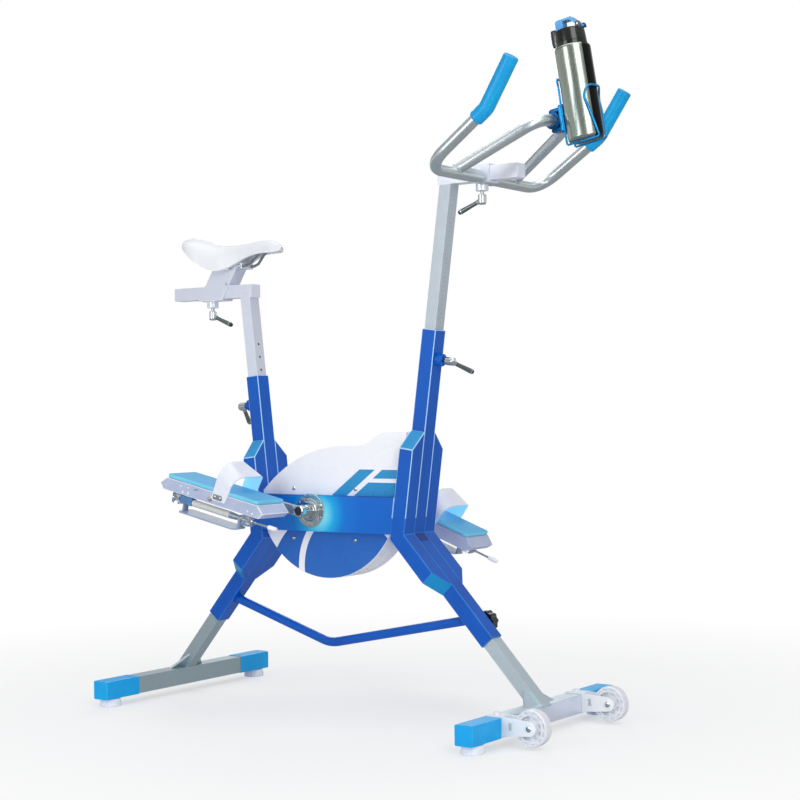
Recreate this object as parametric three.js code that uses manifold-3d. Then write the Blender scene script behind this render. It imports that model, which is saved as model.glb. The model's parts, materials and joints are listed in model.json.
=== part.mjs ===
// An aqua bike: a pool exercise bike that stands on the floor of a swimming pool.
// Millimetres. X points forward, Y to the rider's left, Z up. The origin is on the floor,
// under the middle of the whole bike.
import * as THREE from "three";
import { mergeVertices } from "three/addons/utils/BufferGeometryUtils.js";
import Module from "manifold-3d";

const wasm = await Module();
wasm.setup();

// Gaps, and the number of sides of round pieces
const seatGap = 0.3;
const slideGap = 0.3;
const overrun = 6;
const cutterSize = 900;
const roundSides = 20;
const smallSides = 10;
const hexSides = 6;

// Feet and foot beams
const footHeight = 18;
const footRadius = 25.5;
const footTopRadius = 22.5;
const footRim = 5;
const footInset = 33;
const footWidth = 582;
const beamSide = 40;
const beamWall = 2.5;
const capLength = 107;
const capWall = 1.5;
const capEndWall = 6;
const capCorner = 3;
const gussetReach = 42;
const gussetRise = 44;
const gussetThickness = 5;

// Square tube of the frame, and the legs and posts that slide in it
const sleeveWidth = 40;
const sleeveDepth = 36;
const sleeveWall = 3.2;
const postWall = 2.5;
const bevelLength = 40;

// Rear leg and seat upright
const rearKneeHeight = 394.9;
const rearLegAngle = 40.2;
const rearSleeveDown = 267;
const rearLegIn = 110;
const seatLean = 6.6;
const seatSleeveUp = 378;
const seatPostOut = 189.4;
const seatPostIn = 200;
const rearBoxUp = 184;
const rearBoxDown = 94;

// Front leg and handlebar upright
const kneeSpacing = 404;
const kneeStep = 10.5;
const frontLegAngle = 43;
const frontSleeveDown = 304;
const frontLegIn = 140;
const barLean = 8;
const barSleeveUp = 463;
const barPostOut = 319;
const barPostIn = 240;
const frontBoxUp = 197;
const frontBoxDown = 118;

// Rails that join the two legs, and the round bar under them
const railBelowCrank = 48.5;
const railHeight = 83;
const railThickness = 20;
const railWall = 2.5;
const bottomBarRadius = 10.5;
const bottomBarRearDrop = 153.2;
const bottomBarFrontDrop = 175.9;
const bottomBarBendForward = 7;
const bottomBarBendDrop = 310;
const bottomBarBendRadius = 90;
const bottomBarSteps = 16;

// Crank bearings, axle, arms and pedal spindles
const crankForward = 163.6;
const crankRise = 64.1;
const axleRadius = 12.5;
const axleEndRadius = 9;
const axleEndShort = 4;
const bearingWidth = 15;
const bearingWall = 8;
const hubWall = 3;
const flangeRadius = 39;
const flangeThickness = 4;
const flangeNeckRadius = 20;
const flangeNeck = 4;
const crankLength = 172;
const crankAngle = 10.5;
const crankThickness = 13;
const crankHubRadius = 13.7;
const crankHubEnd = 107;
const crankRootWidth = 24;
const crankTipWidth = 22;
const spindleRadius = 7;
const spindleHeadRadius = 9.5;
const spindleHead = 3;

// Water rotor on the axle, inside the fairing
const rotorRadius = 112;
const rotorHubRadius = 20;
const rotorFinCount = 6;
const rotorFinThickness = 4;
const rotorSideGap = 8;

// Fairing: a low round drum under a flatter arch that runs up to the handlebar upright.
// Lengths along the bike are shares of the knees' spacing, because it fits between them.
const fairingWall = 3;
const drumForwardShare = 0.4742;
const drumRadiusShare = 0.5037;
const drumRise = 47.5;
const archForwardShare = 0.635;
const archRadiusShare = 0.8614;
const archDrop = 199;
const archStartShare = 0.0187;
const shoulderStartShare = 0.6845;
const shoulderLengthShare = 0.2475;
const shoulderRise = 30;

// Pedals: body, foot pad, foot strap, flap rod and flap
const pedalInner = 120;
const pedalWidth = 94;
const pedalLength = 316;
const pedalBottomLength = 292;
const padLength = 277;
const padThickness = 9;
const padBevel = 1.5;
const pedalTop = 16.5;
const pedalBottom = -13;
const rightToeAngle = 12.3;
const leftToeAngle = 20.6;
const strapThickness = 3;
const strapStart = 4;
const strapLength = 43;
const strapBase = -2;
const strapRearTop = 89;
const strapFrontTop = 63;
const strapLean = 18;
const strapCorner = 34;
const flapRodDrop = 27;
const flapRodInset = 16;
const flapRodRadius = 4;
const flapTubeRadius = 8;
const flapTubeStart = -60;
const flapTubeEnd = 54;
const knuckleStart = -122;
const knuckleEnd = 125;
const knuckleLength = 32;
const knuckleWidth = 20;
const knuckleHeight = 26;
const pinRadius = 2.5;
const pinKnobRadius = 5;
const pinKnobStart = 168;
const pinKnobEnd = 191;
const flapWidth = 50;
const flapThickness = 3;
const flapDrop = 22;
const flapStart = -86;
const flapEnd = 88;
const flapEarThickness = 5;
const flapEarWidth = 16;

// Top rails on the two posts
const topRailWidth = 32;
const topRailHeight = 31;
const topRailWall = 3;
const topRailOverhang = 20.5;
const seatRailLength = 247;
const barRailLength = 204;

// Saddle slider, clamp and wires, measured from the top of the seat post
const sliderWall = 4;
const saddleSliderBack = 109;
const saddleSliderLength = 75;
const saddleSliderRise = 38;
const saddleSliderLean = 32;
const saddleBossBack = 8;
const clampForward = 81;
const clampRise = 13;
const clampLength = 46;
const clampWidth = 42;
const wireRadius = 3.5;
const wireSpread = 16;
const wireStraight = 28;
const wireBendRadius = 22;
const wireRearBack = 95;
const wireRearSpread = 28;
const wireRearRise = 61;
const wireFrontForward = 88;
const wireFrontSpread = 6;
const wireFrontRise = 46;
const wireSides = 6;
const wireSteps = 15;

// Saddle, measured from its clamp and from the middle of the rail
const saddleBack = 140;
const saddleLength = 270;
const saddleHalfWidth = 75;
const saddleTopRise = 136;
const saddleSkirtRise = 49;
const saddleShell = 9;
const saddleRingSteps = 10;
const saddleRoundShare = 0.55;

// Handlebar, measured from the middle of its slider
const barSliderForward = 96;
const barSliderLength = 41;
const barBossBack = 10.5;
const barRadius = 12.5;
const barDrop = 10.5;
const barCornerForward = -1;
const barCornerSide = 226;
const barCornerDrop = 11;
const barBendRadius = 62;
const gripBendForward = 150.3;
const gripBendSide = 233.1;
const gripBendRise = 93.6;
const gripBendRadius = 40;
const barEndForward = 211.3;
const barEndSide = 238.1;
const barEndRise = 186;
const gripWall = 3.8;
const gripBelowBend = 33;
const gripEndWall = 4;
const loopBaseSide = 116;
const loopBaseRise = 7;
const loopFrontForward = 174;
const loopFrontSide = 58;
const loopFrontRise = 95;
const loopBendRadius = 60;
const barSides = 8;
const barSteps = 24;
const loopSteps = 20;

// Clamp levers and their bosses
const bossRadius = 14;
const bossLength = 16;
const studRadius = 4;
const leverGap = 8;
const leverHubRadius = 9.5;
const leverHubLength = 22;
const handleLength = 66;
const handleRadius = 5;
const handleTipRadius = 6.5;
const handleTilt = 22;
const seatLeverUp = 311;
const seatLeverAngle = 39;
const barLeverUp = 398;
const barLeverAngle = 20;

// Knob that locks the front leg
const legKnobDown = 252;
const legKnobRadius = 25;
const legKnobThickness = 22;
const legKnobStandoff = 4;
const legKnobRibs = 10;
const legKnobRib = 3;

// Bottle and its lid, from the middle of the bottle's base
const bottleForward = 249;
const bottleRise = 48.5;
const bottleLean = 9.5;
const bottleRadius = 38.5;
const bottleHeight = 200;
const bottleWall = 1.5;
const bottleEdge = 3;
const bottleShoulder = 7;
const bottleMouthRadius = 28;
const bottleRim = 5;
const lidHeight = 37;
const lidRadius = 33;
const lidTopRadius = 31;
const lidPlug = 12;
const latchDepth = 9;
const latchWidth = 14;
const latchHeight = 38;
const latchAbove = 10;
const flipWidth = 20;
const flipPinRadius = 2.2;
const flipEnd = 4;
const flipHingeX = 28;
const flipEarWidth = 4;
const flipRise = 25;
const flipBlockStart = 26;
const flipBlockEnd = 8;
const flipBar = 5;
const flipShoulderX = 12;

// Bottle cage: wires, hoop and the ring round the loop of the handlebar
const cageWireRadius = 3;
const cageWireSpread = 6;
const cageHoopHeight = 96;
const cageBendRadius = 8;
const cageTipRise = 14;
const cageSideAngle = 70;
const cageSideLow = 8;
const cageSides = 6;
const cageBackSteps = 18;
const cageSideSteps = 8;
const clampRingWall = 5;
const clampRingWidth = 26;
const cagePlateHeight = 62;

// Transport wheels on the front beam
const wheelRadius = 38;
const wheelWidth = 24;
const wheelCapGap = 2;
const wheelForward = 85;
const wheelHeight = 44;
const wheelBore = 5;
const wheelHubRadius = 13;
const wheelTreadInner = 26;
const wheelWeb = 14;
const wheelEdge = 3;
const wheelSideGap = 1;
const wheelArmThickness = 4;
const wheelArmRound = 15;
const wheelArmLow = 22;
const wheelPlate = 3;
const wheelAxleHead = 2;
const wheelBoltRadius = 7;
const wheelBoltHead = 6;
const wheelSlotForward = 40;
const wheelSlotLength = 9;
const wheelSlotHeight = 15;

// Sizes that follow from the ones above
const beamTop = footHeight + capWall + beamSide;
const beamMiddle = footHeight + capWall + beamSide / 2;
const frameWidth = 3 * sleeveWidth;
const postWidth = sleeveWidth - 2 * (sleeveWall + slideGap);
const postDepth = sleeveDepth - 2 * (sleeveWall + slideGap);
const frontKneeHeight = rearKneeHeight + kneeStep;
const rearKneeX = (rearKneeHeight - beamTop) * Math.tan(radians(rearLegAngle));
const frontKneeX = rearKneeX + kneeSpacing;
const beamSpacing = frontKneeX + (frontKneeHeight - beamTop) * Math.tan(radians(frontLegAngle));
const crankX = rearKneeX + crankForward;
const crankHeight = rearKneeHeight + crankRise;
const railBottom = crankHeight - railBelowCrank;
const bottomBarRearHeight = rearKneeHeight - bottomBarRearDrop;
const bottomBarFrontHeight = frontKneeHeight - bottomBarFrontDrop;
const drumX = rearKneeX + drumForwardShare * kneeSpacing;
const drumHeight = crankHeight + drumRise;
const drumRadius = drumRadiusShare * kneeSpacing;
const archX = rearKneeX + archForwardShare * kneeSpacing;
const archHeight = crankHeight - archDrop;
const archRadius = archRadiusShare * kneeSpacing;
const archStart = rearKneeX + archStartShare * kneeSpacing;
const shoulderStart = rearKneeX + shoulderStartShare * kneeSpacing;
const shoulderLength = shoulderLengthShare * kneeSpacing;
const wheelSide = footWidth / 2 - capLength - wheelCapGap - wheelArmThickness - wheelSideGap
  - wheelWidth / 2;
const seatAngle = -seatLean;
const rearLegTurn = -(180 - rearLegAngle);
const frontLegTurn = 180 - frontLegAngle;
const fairingHalf = frameWidth / 2 - railThickness - seatGap;
const hubOuterRadius = axleRadius + seatGap + bearingWall + seatGap + hubWall;
const bearingOuterRadius = axleRadius + seatGap + bearingWall;
const railMiddleY = frameWidth / 2 - railThickness / 2;
const flangeInner = frameWidth / 2 + seatGap;
const flangeOuter = flangeInner + flangeThickness + flangeNeck;
const sliderWidth = topRailWidth + 2 * (slideGap + sliderWall);
const sliderHeight = topRailHeight + 2 * (slideGap + sliderWall);

function radians(degrees) {
  return THREE.MathUtils.degToRad(degrees);
}

// Joining and cutting closed geometries
function solidOf(geometry) {
  const bare = new THREE.BufferGeometry();
  const source = geometry.index ? geometry.toNonIndexed() : geometry;
  bare.setAttribute("position", source.getAttribute("position").clone());
  const merged = mergeVertices(bare, 1e-4);
  return new wasm.Manifold(new wasm.Mesh({
    numProp: 3,
    vertProperties: merged.getAttribute("position").array,
    triVerts: new Uint32Array(merged.index.array),
  }));
}

function geometryOf(solid) {
  const mesh = solid.getMesh();
  const geometry = new THREE.BufferGeometry();
  geometry.setAttribute("position", new THREE.BufferAttribute(mesh.vertProperties, 3));
  geometry.setIndex(new THREE.BufferAttribute(mesh.triVerts, 1));
  const faces = geometry.toNonIndexed();
  faces.computeVertexNormals();
  return faces;
}

function joined(...geometries) {
  return geometryOf(geometries.map(solidOf).reduce((sum, next) => sum.add(next)));
}

function cut(geometry, ...tools) {
  return geometryOf(tools.map(solidOf).reduce((rest, tool) => rest.subtract(tool), solidOf(geometry)));
}

function shared(geometry, other) {
  return geometryOf(solidOf(geometry).intersect(solidOf(other)));
}

// Basic shapes
function box(length, width, height) {
  return new THREE.BoxGeometry(length, width, height);
}

function standingBox(length, width, height) {
  return box(length, width, height).translate(0, 0, height / 2);
}

function boxBetween(low, high) {
  const size = high.map((value, axis) => value - low[axis]);
  const middle = high.map((value, axis) => (value + low[axis]) / 2);
  return box(...size).translate(...middle);
}

function uprightRod(radius, start, end, sides = roundSides) {
  const rod = new THREE.CylinderGeometry(radius, radius, end - start, sides);
  return rod.rotateX(Math.PI / 2).translate(0, 0, (start + end) / 2);
}

function crossRod(radius, start, end, sides = roundSides) {
  const rod = new THREE.CylinderGeometry(radius, radius, end - start, sides);
  return rod.translate(0, (start + end) / 2, 0);
}

function forwardRod(radius, start, end, sides = roundSides) {
  const rod = new THREE.CylinderGeometry(radius, radius, end - start, sides);
  return rod.rotateZ(-Math.PI / 2).translate((start + end) / 2, 0, 0);
}

// A turned piece about Z: pairs of radius and height, closed on the axis.
function turned(profile, sides = roundSides) {
  const points = profile.map(([radius, height]) => new THREE.Vector2(radius, height));
  return new THREE.LatheGeometry(points, sides).rotateX(Math.PI / 2);
}

function outline(points) {
  return new THREE.Shape(points.map(([x, y]) => new THREE.Vector2(x, y)));
}

// An outline drawn in X and Z, thick along Y.
function acrossY(shape, start, end, curveSegments = 5) {
  const depth = end - start;
  const slab = new THREE.ExtrudeGeometry(shape, { depth, bevelEnabled: false, curveSegments });
  return slab.rotateX(Math.PI / 2).translate(0, end, 0);
}

// An outline drawn in Y and Z, thick along X.
function acrossX(shape, start, end, curveSegments = 4) {
  const depth = end - start;
  const slab = new THREE.ExtrudeGeometry(shape, { depth, bevelEnabled: false, curveSegments });
  const toX = new THREE.Matrix4().makeBasis(
    new THREE.Vector3(0, 1, 0), new THREE.Vector3(0, 0, 1), new THREE.Vector3(1, 0, 0),
  );
  return slab.applyMatrix4(toX).translate(start, 0, 0);
}

function roundedRectangle(width, height, corner) {
  const shape = new THREE.Shape();
  const x = width / 2;
  const y = height / 2;
  shape.moveTo(-x + corner, -y);
  shape.lineTo(x - corner, -y);
  shape.absarc(x - corner, -y + corner, corner, -Math.PI / 2, 0);
  shape.lineTo(x, y - corner);
  shape.absarc(x - corner, y - corner, corner, 0, Math.PI / 2);
  shape.lineTo(-x + corner, y);
  shape.absarc(-x + corner, y - corner, corner, Math.PI / 2, Math.PI);
  shape.lineTo(-x, -y + corner);
  shape.absarc(-x + corner, -y + corner, corner, Math.PI, 1.5 * Math.PI);
  return shape;
}

function circle(radius) {
  return new THREE.Shape().absarc(0, 0, radius, 0, 2 * Math.PI);
}

// A path of straight runs with a round bend at each inner corner.
function bentRoute(corners, bendRadii) {
  const route = new THREE.CurvePath();
  const points = corners.map((corner) => new THREE.Vector3(...corner));
  let from = points[0];
  for (let i = 1; i < points.length - 1; i += 1) {
    const back = points[i - 1].clone().sub(points[i]).normalize();
    const ahead = points[i + 1].clone().sub(points[i]).normalize();
    const reach = bendRadii[i - 1] / Math.tan(back.angleTo(ahead) / 2);
    const bendStart = points[i].clone().addScaledVector(back, reach);
    const bendEnd = points[i].clone().addScaledVector(ahead, reach);
    route.add(new THREE.LineCurve3(from, bendStart));
    route.add(new THREE.QuadraticBezierCurve3(bendStart, points[i], bendEnd));
    from = bendEnd;
  }
  route.add(new THREE.LineCurve3(from, points[points.length - 1]));
  return route;
}

// A round tube along a route. A full circle is drawn with two points to a curve segment.
function roundTube(route, radius, steps, sides = barSides) {
  return new THREE.ExtrudeGeometry(circle(radius), {
    steps, bevelEnabled: false, extrudePath: route, curveSegments: sides / 2,
  });
}

// Turns a piece made along Z to point along a direction, and moves it to a place.
function placed(geometry, place, direction) {
  const turn = new THREE.Quaternion().setFromUnitVectors(new THREE.Vector3(0, 0, 1), direction);
  return geometry.applyQuaternion(turn).translate(...place.toArray());
}

function mirroredY(geometry) {
  const copy = geometry.index ? geometry.toNonIndexed() : geometry.clone();
  copy.scale(1, -1, 1);
  const place = copy.getAttribute("position");
  const corner = new THREE.Vector3();
  const other = new THREE.Vector3();
  for (let i = 0; i < place.count; i += 3) {
    corner.fromBufferAttribute(place, i + 1);
    other.fromBufferAttribute(place, i + 2);
    place.setXYZ(i + 1, other.x, other.y, other.z);
    place.setXYZ(i + 2, corner.x, corner.y, corner.z);
  }
  copy.computeVertexNormals();
  return copy;
}

// The scene graph
const bike = new THREE.Group();

function group(parent, x, y, z, turn = 0) {
  const made = new THREE.Group();
  made.position.set(x, y, z);
  made.rotation.y = radians(turn);
  parent.add(made);
  return made;
}

function piece(parent, name, geometry, [color, roughness, metalness]) {
  const material = new THREE.MeshStandardMaterial({ color, roughness, metalness });
  const mesh = new THREE.Mesh(geometry, material);
  mesh.name = name;
  parent.add(mesh);
  return mesh;
}

// Colour, roughness and metalness of each finish
const finishes = {
  frameBlue: [0x1460c0, 0.35, 0.1],
  skyBlue: [0x148cdc, 0.5, 0],
  satinSteel: [0xaab6be, 0.35, 0.9],
  chrome: [0xd8dde2, 0.12, 1],
  whiteGloss: [0xeef0f8, 0.25, 0],
  whiteRubber: [0xe4e6ea, 0.8, 0],
  foamBlue: [0x64afdc, 0.85, 0],
  pedalGrey: [0xb8bcd4, 0.3, 0],
  clearPlastic: [0xdde6ee, 0.2, 0],
  blackPlastic: [0x20242a, 0.45, 0],
  bearingPlastic: [0xd9d4c4, 0.6, 0],
};

const rearKnee = group(bike, rearKneeX, 0, rearKneeHeight);
const frontKnee = group(bike, frontKneeX, 0, frontKneeHeight);
const frontLeg = group(frontKnee, 0, 0, 0, frontLegTurn);

// The side view of a bent square tube, mitred at the knee, which is at the origin.
function kneeOutline(upTurn, downTurn, upLength, downLength, half) {
  const up = new THREE.Vector2(Math.sin(radians(upTurn)), Math.cos(radians(upTurn)));
  const down = new THREE.Vector2(Math.sin(radians(downTurn)), Math.cos(radians(downTurn)));
  const upSide = new THREE.Vector2(up.y, -up.x).multiplyScalar(half);
  const downSide = new THREE.Vector2(-down.y, down.x).multiplyScalar(half);
  const mitre = upSide.clone().add(downSide);
  mitre.divideScalar(1 + upSide.dot(downSide) / (half * half));
  const upEnd = up.clone().multiplyScalar(upLength);
  const downEnd = down.clone().multiplyScalar(downLength);
  return new THREE.Shape([
    downEnd.clone().add(downSide),
    mitre.clone(),
    upEnd.clone().add(upSide),
    upEnd.clone().sub(upSide),
    mitre.clone().negate(),
    downEnd.clone().sub(downSide),
  ]);
}

// What is cut away beside the middle tube, past the sloping end of a side box.
function besideTube(turn, boxEnd, length) {
  const inner = sleeveWidth / 2;
  const outer = frameWidth / 2 + overrun;
  const slope = bevelLength / sleeveWidth;
  const shape = outline([
    [inner, boxEnd + bevelLength],
    [outer, boxEnd - overrun * slope],
    [outer, length + overrun],
    [inner, length + overrun],
  ]);
  const left = acrossX(shape, -sleeveDepth, sleeveDepth);
  return [left.clone().rotateY(radians(turn)), mirroredY(left).rotateY(radians(turn))];
}

// One welded end of the frame: the bent middle tube with a box on each side of its knee.
function frameEnd({ upTurn, downTurn, up, down, boxUp, boxDown }) {
  const body = acrossY(kneeOutline(upTurn, downTurn, up, down, sleeveDepth / 2),
    -frameWidth / 2, frameWidth / 2);
  const bore = acrossY(kneeOutline(upTurn, downTurn, up + overrun, down + overrun,
    sleeveDepth / 2 - sleeveWall), -(sleeveWidth / 2 - sleeveWall), sleeveWidth / 2 - sleeveWall);
  return cut(body, ...besideTube(upTurn, boxUp, up), ...besideTube(downTurn, boxDown, down), bore);
}

// A round boss on a tube's face, and the hole through it, both along Z with the face at zero.
function boss() {
  return uprightRod(bossRadius, -sleeveWall / 2, bossLength);
}

function bossHole(wall) {
  return uprightRod(studRadius + seatGap, -wall - seatGap, bossLength + overrun, smallSides);
}

// Puts a piece made along Z on a tube's face: side 1 is its front, side -1 its back.
function onFace(geometry, turn, along, side) {
  return geometry.rotateY(side * Math.PI / 2).translate(side * sleeveDepth / 2, 0, along)
    .rotateY(radians(turn));
}

function rearFrameLeg() {
  const end = frameEnd({
    upTurn: seatAngle, downTurn: rearLegTurn, up: seatSleeveUp, down: rearSleeveDown,
    boxUp: rearBoxUp, boxDown: rearBoxDown,
  });
  const withBoss = joined(end, onFace(boss(), seatAngle, seatLeverUp, -1));
  return cut(withBoss, onFace(bossHole(sleeveWall), seatAngle, seatLeverUp, -1));
}

function frontFrameLeg() {
  const end = frameEnd({
    upTurn: barLean, downTurn: frontLegTurn, up: barSleeveUp, down: frontSleeveDown,
    boxUp: frontBoxUp, boxDown: frontBoxDown,
  });
  const withBoss = joined(end, onFace(boss(), barLean, barLeverUp, 1));
  const knobHole = crossRod(studRadius + seatGap, 0, sleeveWidth, smallSides)
    .translate(0, 0, legKnobDown).rotateY(radians(frontLegTurn));
  return cut(withBoss, onFace(bossHole(sleeveWall), barLean, barLeverUp, 1), knobHole);
}

piece(rearKnee, "rear_frame_leg", rearFrameLeg(), finishes.frameBlue);
piece(frontKnee, "front_frame_leg", frontFrameLeg(), finishes.frameBlue);

// Where the upright's face towards the crank lies at a height above the floor
function rearFaceX(height) {
  const lean = radians(seatAngle);
  return rearKneeX + (height - rearKneeHeight) * Math.tan(lean) + sleeveDepth / 2 / Math.cos(lean);
}

function frontFaceX(height) {
  const lean = radians(barLean);
  return frontKneeX + (height - frontKneeHeight) * Math.tan(lean) - sleeveDepth / 2 / Math.cos(lean);
}

// Side rails: flat tubes between the two uprights, with a hub for the crank bearing
function sideRail() {
  const top = railBottom + railHeight;
  const side = outline([
    [rearFaceX(railBottom) + seatGap, railBottom],
    [frontFaceX(railBottom) - seatGap, railBottom],
    [frontFaceX(top) - seatGap, top],
    [rearFaceX(top) + seatGap, top],
  ]);
  const half = railThickness / 2;
  const tube = acrossY(side, -half, half);
  const bore = boxBetween(
    [rearFaceX(top) - overrun, -half + railWall, railBottom + railWall],
    [frontFaceX(top) + overrun, half - railWall, top - railWall],
  );
  const hub = crossRod(hubOuterRadius, -half, half).translate(crankX, 0, crankHeight);
  const hubBore = crossRod(bearingOuterRadius + seatGap, -half - overrun, half + overrun)
    .translate(crankX, 0, crankHeight);
  return cut(joined(cut(tube, bore), hub), hubBore);
}

for (const [side, sign] of [["left", 1], ["right", -1]]) {
  const rail = group(bike, 0, sign * railMiddleY, 0);
  piece(rail, `${side}_side_rail`, sideRail(), finishes.frameBlue);
}

// The round bar that ties the two legs together, notched to the faces of the legs
function bottomBar() {
  const rearX = rearKneeX - (rearKneeHeight - bottomBarRearHeight) * Math.tan(radians(rearLegAngle));
  const frontX = frontKneeX
    + (frontKneeHeight - bottomBarFrontHeight) * Math.tan(radians(frontLegAngle));
  const route = bentRoute([
    [rearX, 0, bottomBarRearHeight],
    [crankX + bottomBarBendForward, 0, crankHeight - bottomBarBendDrop],
    [frontX, 0, bottomBarFrontHeight],
  ], [bottomBarBendRadius]);
  const half = sleeveDepth / 2 + seatGap;
  const rearNotch = acrossY(kneeOutline(seatAngle, rearLegTurn, seatSleeveUp,
    rearSleeveDown + overrun, half), -frameWidth / 2, frameWidth / 2);
  const frontNotch = acrossY(kneeOutline(barLean, frontLegTurn, barSleeveUp,
    frontSleeveDown + overrun, half), -frameWidth / 2, frameWidth / 2);
  return cut(roundTube(route, bottomBarRadius, bottomBarSteps),
    rearNotch.translate(rearKneeX, 0, rearKneeHeight),
    frontNotch.translate(frontKneeX, 0, frontKneeHeight));
}

piece(bike, "bottom_bar", bottomBar(), finishes.frameBlue);

// Fairing, drawn from the side. An inset gives the outline of the hollow inside.
function fairingOutline(inset) {
  const shape = new THREE.Shape();
  const drum = drumRadius - inset;
  const arch = archRadius - inset;
  const archEnd = Math.acos((archStart + inset - archX) / archRadius);
  const shoulder = Math.acos((shoulderStart - archX) / archRadius);
  const shoulderTop = archHeight + archRadius + shoulderRise - inset;
  const front = frontFaceX(shoulderTop) - seatGap - inset;
  const frontLow = frontFaceX(drumHeight) - seatGap - inset;
  const top = archHeight + arch * Math.sin(shoulder);
  shape.absarc(drumX, drumHeight, drum, Math.PI, 2 * Math.PI);
  shape.lineTo(frontLow, drumHeight);
  shape.lineTo(front, shoulderTop);
  shape.lineTo(shoulderStart + shoulderLength, shoulderTop);
  shape.bezierCurveTo(shoulderStart + shoulderLength / 2, shoulderTop,
    shoulderStart + shoulderLength / 2, top, shoulderStart, top);
  shape.absarc(archX, archHeight, arch, shoulder, archEnd);
  return shape;
}

function fairingShell(sign) {
  const start = seatGap / 2;
  const shell = acrossY(fairingOutline(0), start, fairingHalf);
  const hollow = acrossY(fairingOutline(fairingWall), -overrun, fairingHalf - fairingWall);
  const axleHole = crossRod(axleRadius + seatGap + seatGap, 0, fairingHalf + overrun)
    .translate(crankX, 0, crankHeight);
  const half = sleeveDepth / 2 + seatGap;
  const rearNotch = acrossY(kneeOutline(seatAngle, rearLegTurn, seatSleeveUp, rearSleeveDown, half),
    -frameWidth / 2, frameWidth / 2).translate(rearKneeX, 0, rearKneeHeight);
  const left = cut(shell, hollow, axleHole, rearNotch);
  return sign > 0 ? left : mirroredY(left);
}

for (const [side, sign] of [["left", 1], ["right", -1]]) {
  piece(bike, `${side}_fairing`, fairingShell(sign), finishes.whiteGloss);
}

// Crank bearings in the rail hubs, under chromed flanges
const crankCentre = group(bike, crankX, 0, crankHeight);

function bearing() {
  const half = bearingWidth / 2;
  const bore = crossRod(axleRadius + seatGap, -half - overrun, half + overrun);
  return cut(crossRod(bearingOuterRadius, -half, half), bore);
}

function flange(sign) {
  const disc = crossRod(flangeRadius, flangeInner, flangeInner + flangeThickness);
  const neck = crossRod(flangeNeckRadius, flangeInner, flangeOuter);
  const bore = crossRod(axleRadius + seatGap, flangeInner - overrun, flangeOuter + overrun);
  const left = cut(joined(disc, neck), bore);
  return sign > 0 ? left : mirroredY(left);
}

for (const [side, sign] of [["left", 1], ["right", -1]]) {
  const seat = group(crankCentre, 0, sign * railMiddleY, 0);
  piece(seat, `${side}_bearing`, bearing(), finishes.bearingPlastic);
  piece(crankCentre, `${side}_bearing_flange`, flange(sign), finishes.chrome);
}

// Axle with a smaller end in the hub of each crank arm
const crankTurn = group(crankCentre, 0, 0, 0, crankAngle);
const crankHubStart = flangeOuter + seatGap;
const axleEnd = crankHubEnd - axleEndShort;

function crankAxle() {
  const middle = crossRod(axleRadius, -flangeOuter, flangeOuter);
  return joined(middle, crossRod(axleEndRadius, -axleEnd, axleEnd));
}

piece(crankTurn, "crank_axle", crankAxle(), finishes.satinSteel);

function paddleRotor() {
  const half = fairingHalf - fairingWall - rotorSideGap;
  const hub = crossRod(rotorHubRadius, -half, half);
  const fins = [];
  for (let i = 0; i < rotorFinCount / 2; i += 1) {
    const blade = box(2 * rotorRadius, 2 * half, rotorFinThickness);
    fins.push(blade.rotateY(i * 2 * Math.PI / rotorFinCount));
  }
  const bore = crossRod(axleRadius + seatGap, -half - overrun, half + overrun);
  return cut(joined(hub, ...fins), bore);
}

piece(crankTurn, "paddle_rotor", paddleRotor(), finishes.whiteRubber);

// A crank arm: a hub sleeve on the axle end, a tapering bar and an eye for the spindle
function crankArm(sign) {
  const barStart = crankHubEnd - crankThickness;
  const shape = new THREE.Shape();
  shape.absarc(0, 0, crankRootWidth / 2, Math.PI / 2, 1.5 * Math.PI);
  shape.absarc(crankLength, 0, crankTipWidth / 2, -Math.PI / 2, Math.PI / 2);
  const bar = acrossY(shape, barStart, crankHubEnd);
  const hub = crossRod(crankHubRadius, crankHubStart, crankHubEnd);
  const hubBore = crossRod(axleEndRadius + seatGap, crankHubStart - overrun, crankHubEnd + overrun);
  const eye = crossRod(spindleRadius + seatGap, barStart - overrun, crankHubEnd + overrun,
    smallSides).translate(crankLength, 0, 0);
  const left = cut(joined(bar, hub), hubBore, eye);
  return sign > 0 ? left : mirroredY(left).rotateY(Math.PI);
}

// The spindle passes through the arm's eye into the pedal, with a head behind the arm.
function pedalSpindle(sign) {
  const armInner = crankHubEnd - crankThickness;
  const end = pedalInner + pedalWidth - strapThickness;
  const shaft = crossRod(spindleRadius, armInner - spindleHead, end, smallSides);
  const head = crossRod(spindleHeadRadius, armInner - seatGap - spindleHead, armInner - seatGap, 6);
  const collar = crossRod(spindleHeadRadius, crankHubEnd + seatGap,
    pedalInner - strapThickness - 2 * seatGap, smallSides);
  const left = joined(shaft, head, collar);
  return sign > 0 ? left : mirroredY(left);
}

const pedalSides = [
  { side: "left", sign: 1, toeAngle: leftToeAngle },
  { side: "right", sign: -1, toeAngle: rightToeAngle },
];

// A pedal's pieces are drawn with the spindle along Y at the origin and the toe at +X.
const pedalMiddle = pedalInner + pedalWidth / 2;

function pedalBody() {
  const half = pedalWidth / 2;
  const shape = outline([
    [-pedalBottomLength / 2, pedalBottom],
    [pedalBottomLength / 2, pedalBottom],
    [pedalLength / 2, 0],
    [padLength / 2, pedalTop],
    [-padLength / 2, pedalTop],
    [-pedalLength / 2, 0],
  ]);
  const bore = crossRod(spindleRadius + seatGap, -half - overrun, half - strapThickness + seatGap);
  return cut(acrossY(shape, -half, half), bore);
}

function footPad() {
  const slab = new THREE.ExtrudeGeometry(
    roundedRectangle(padLength - 2 * padBevel, pedalWidth - 2 * padBevel, padBevel),
    {
      depth: padThickness - 2 * padBevel, bevelEnabled: true, bevelThickness: padBevel,
      bevelSize: padBevel, bevelSegments: 1, curveSegments: 3,
    },
  );
  return slab.translate(0, 0, pedalTop + seatGap + padBevel);
}

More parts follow.
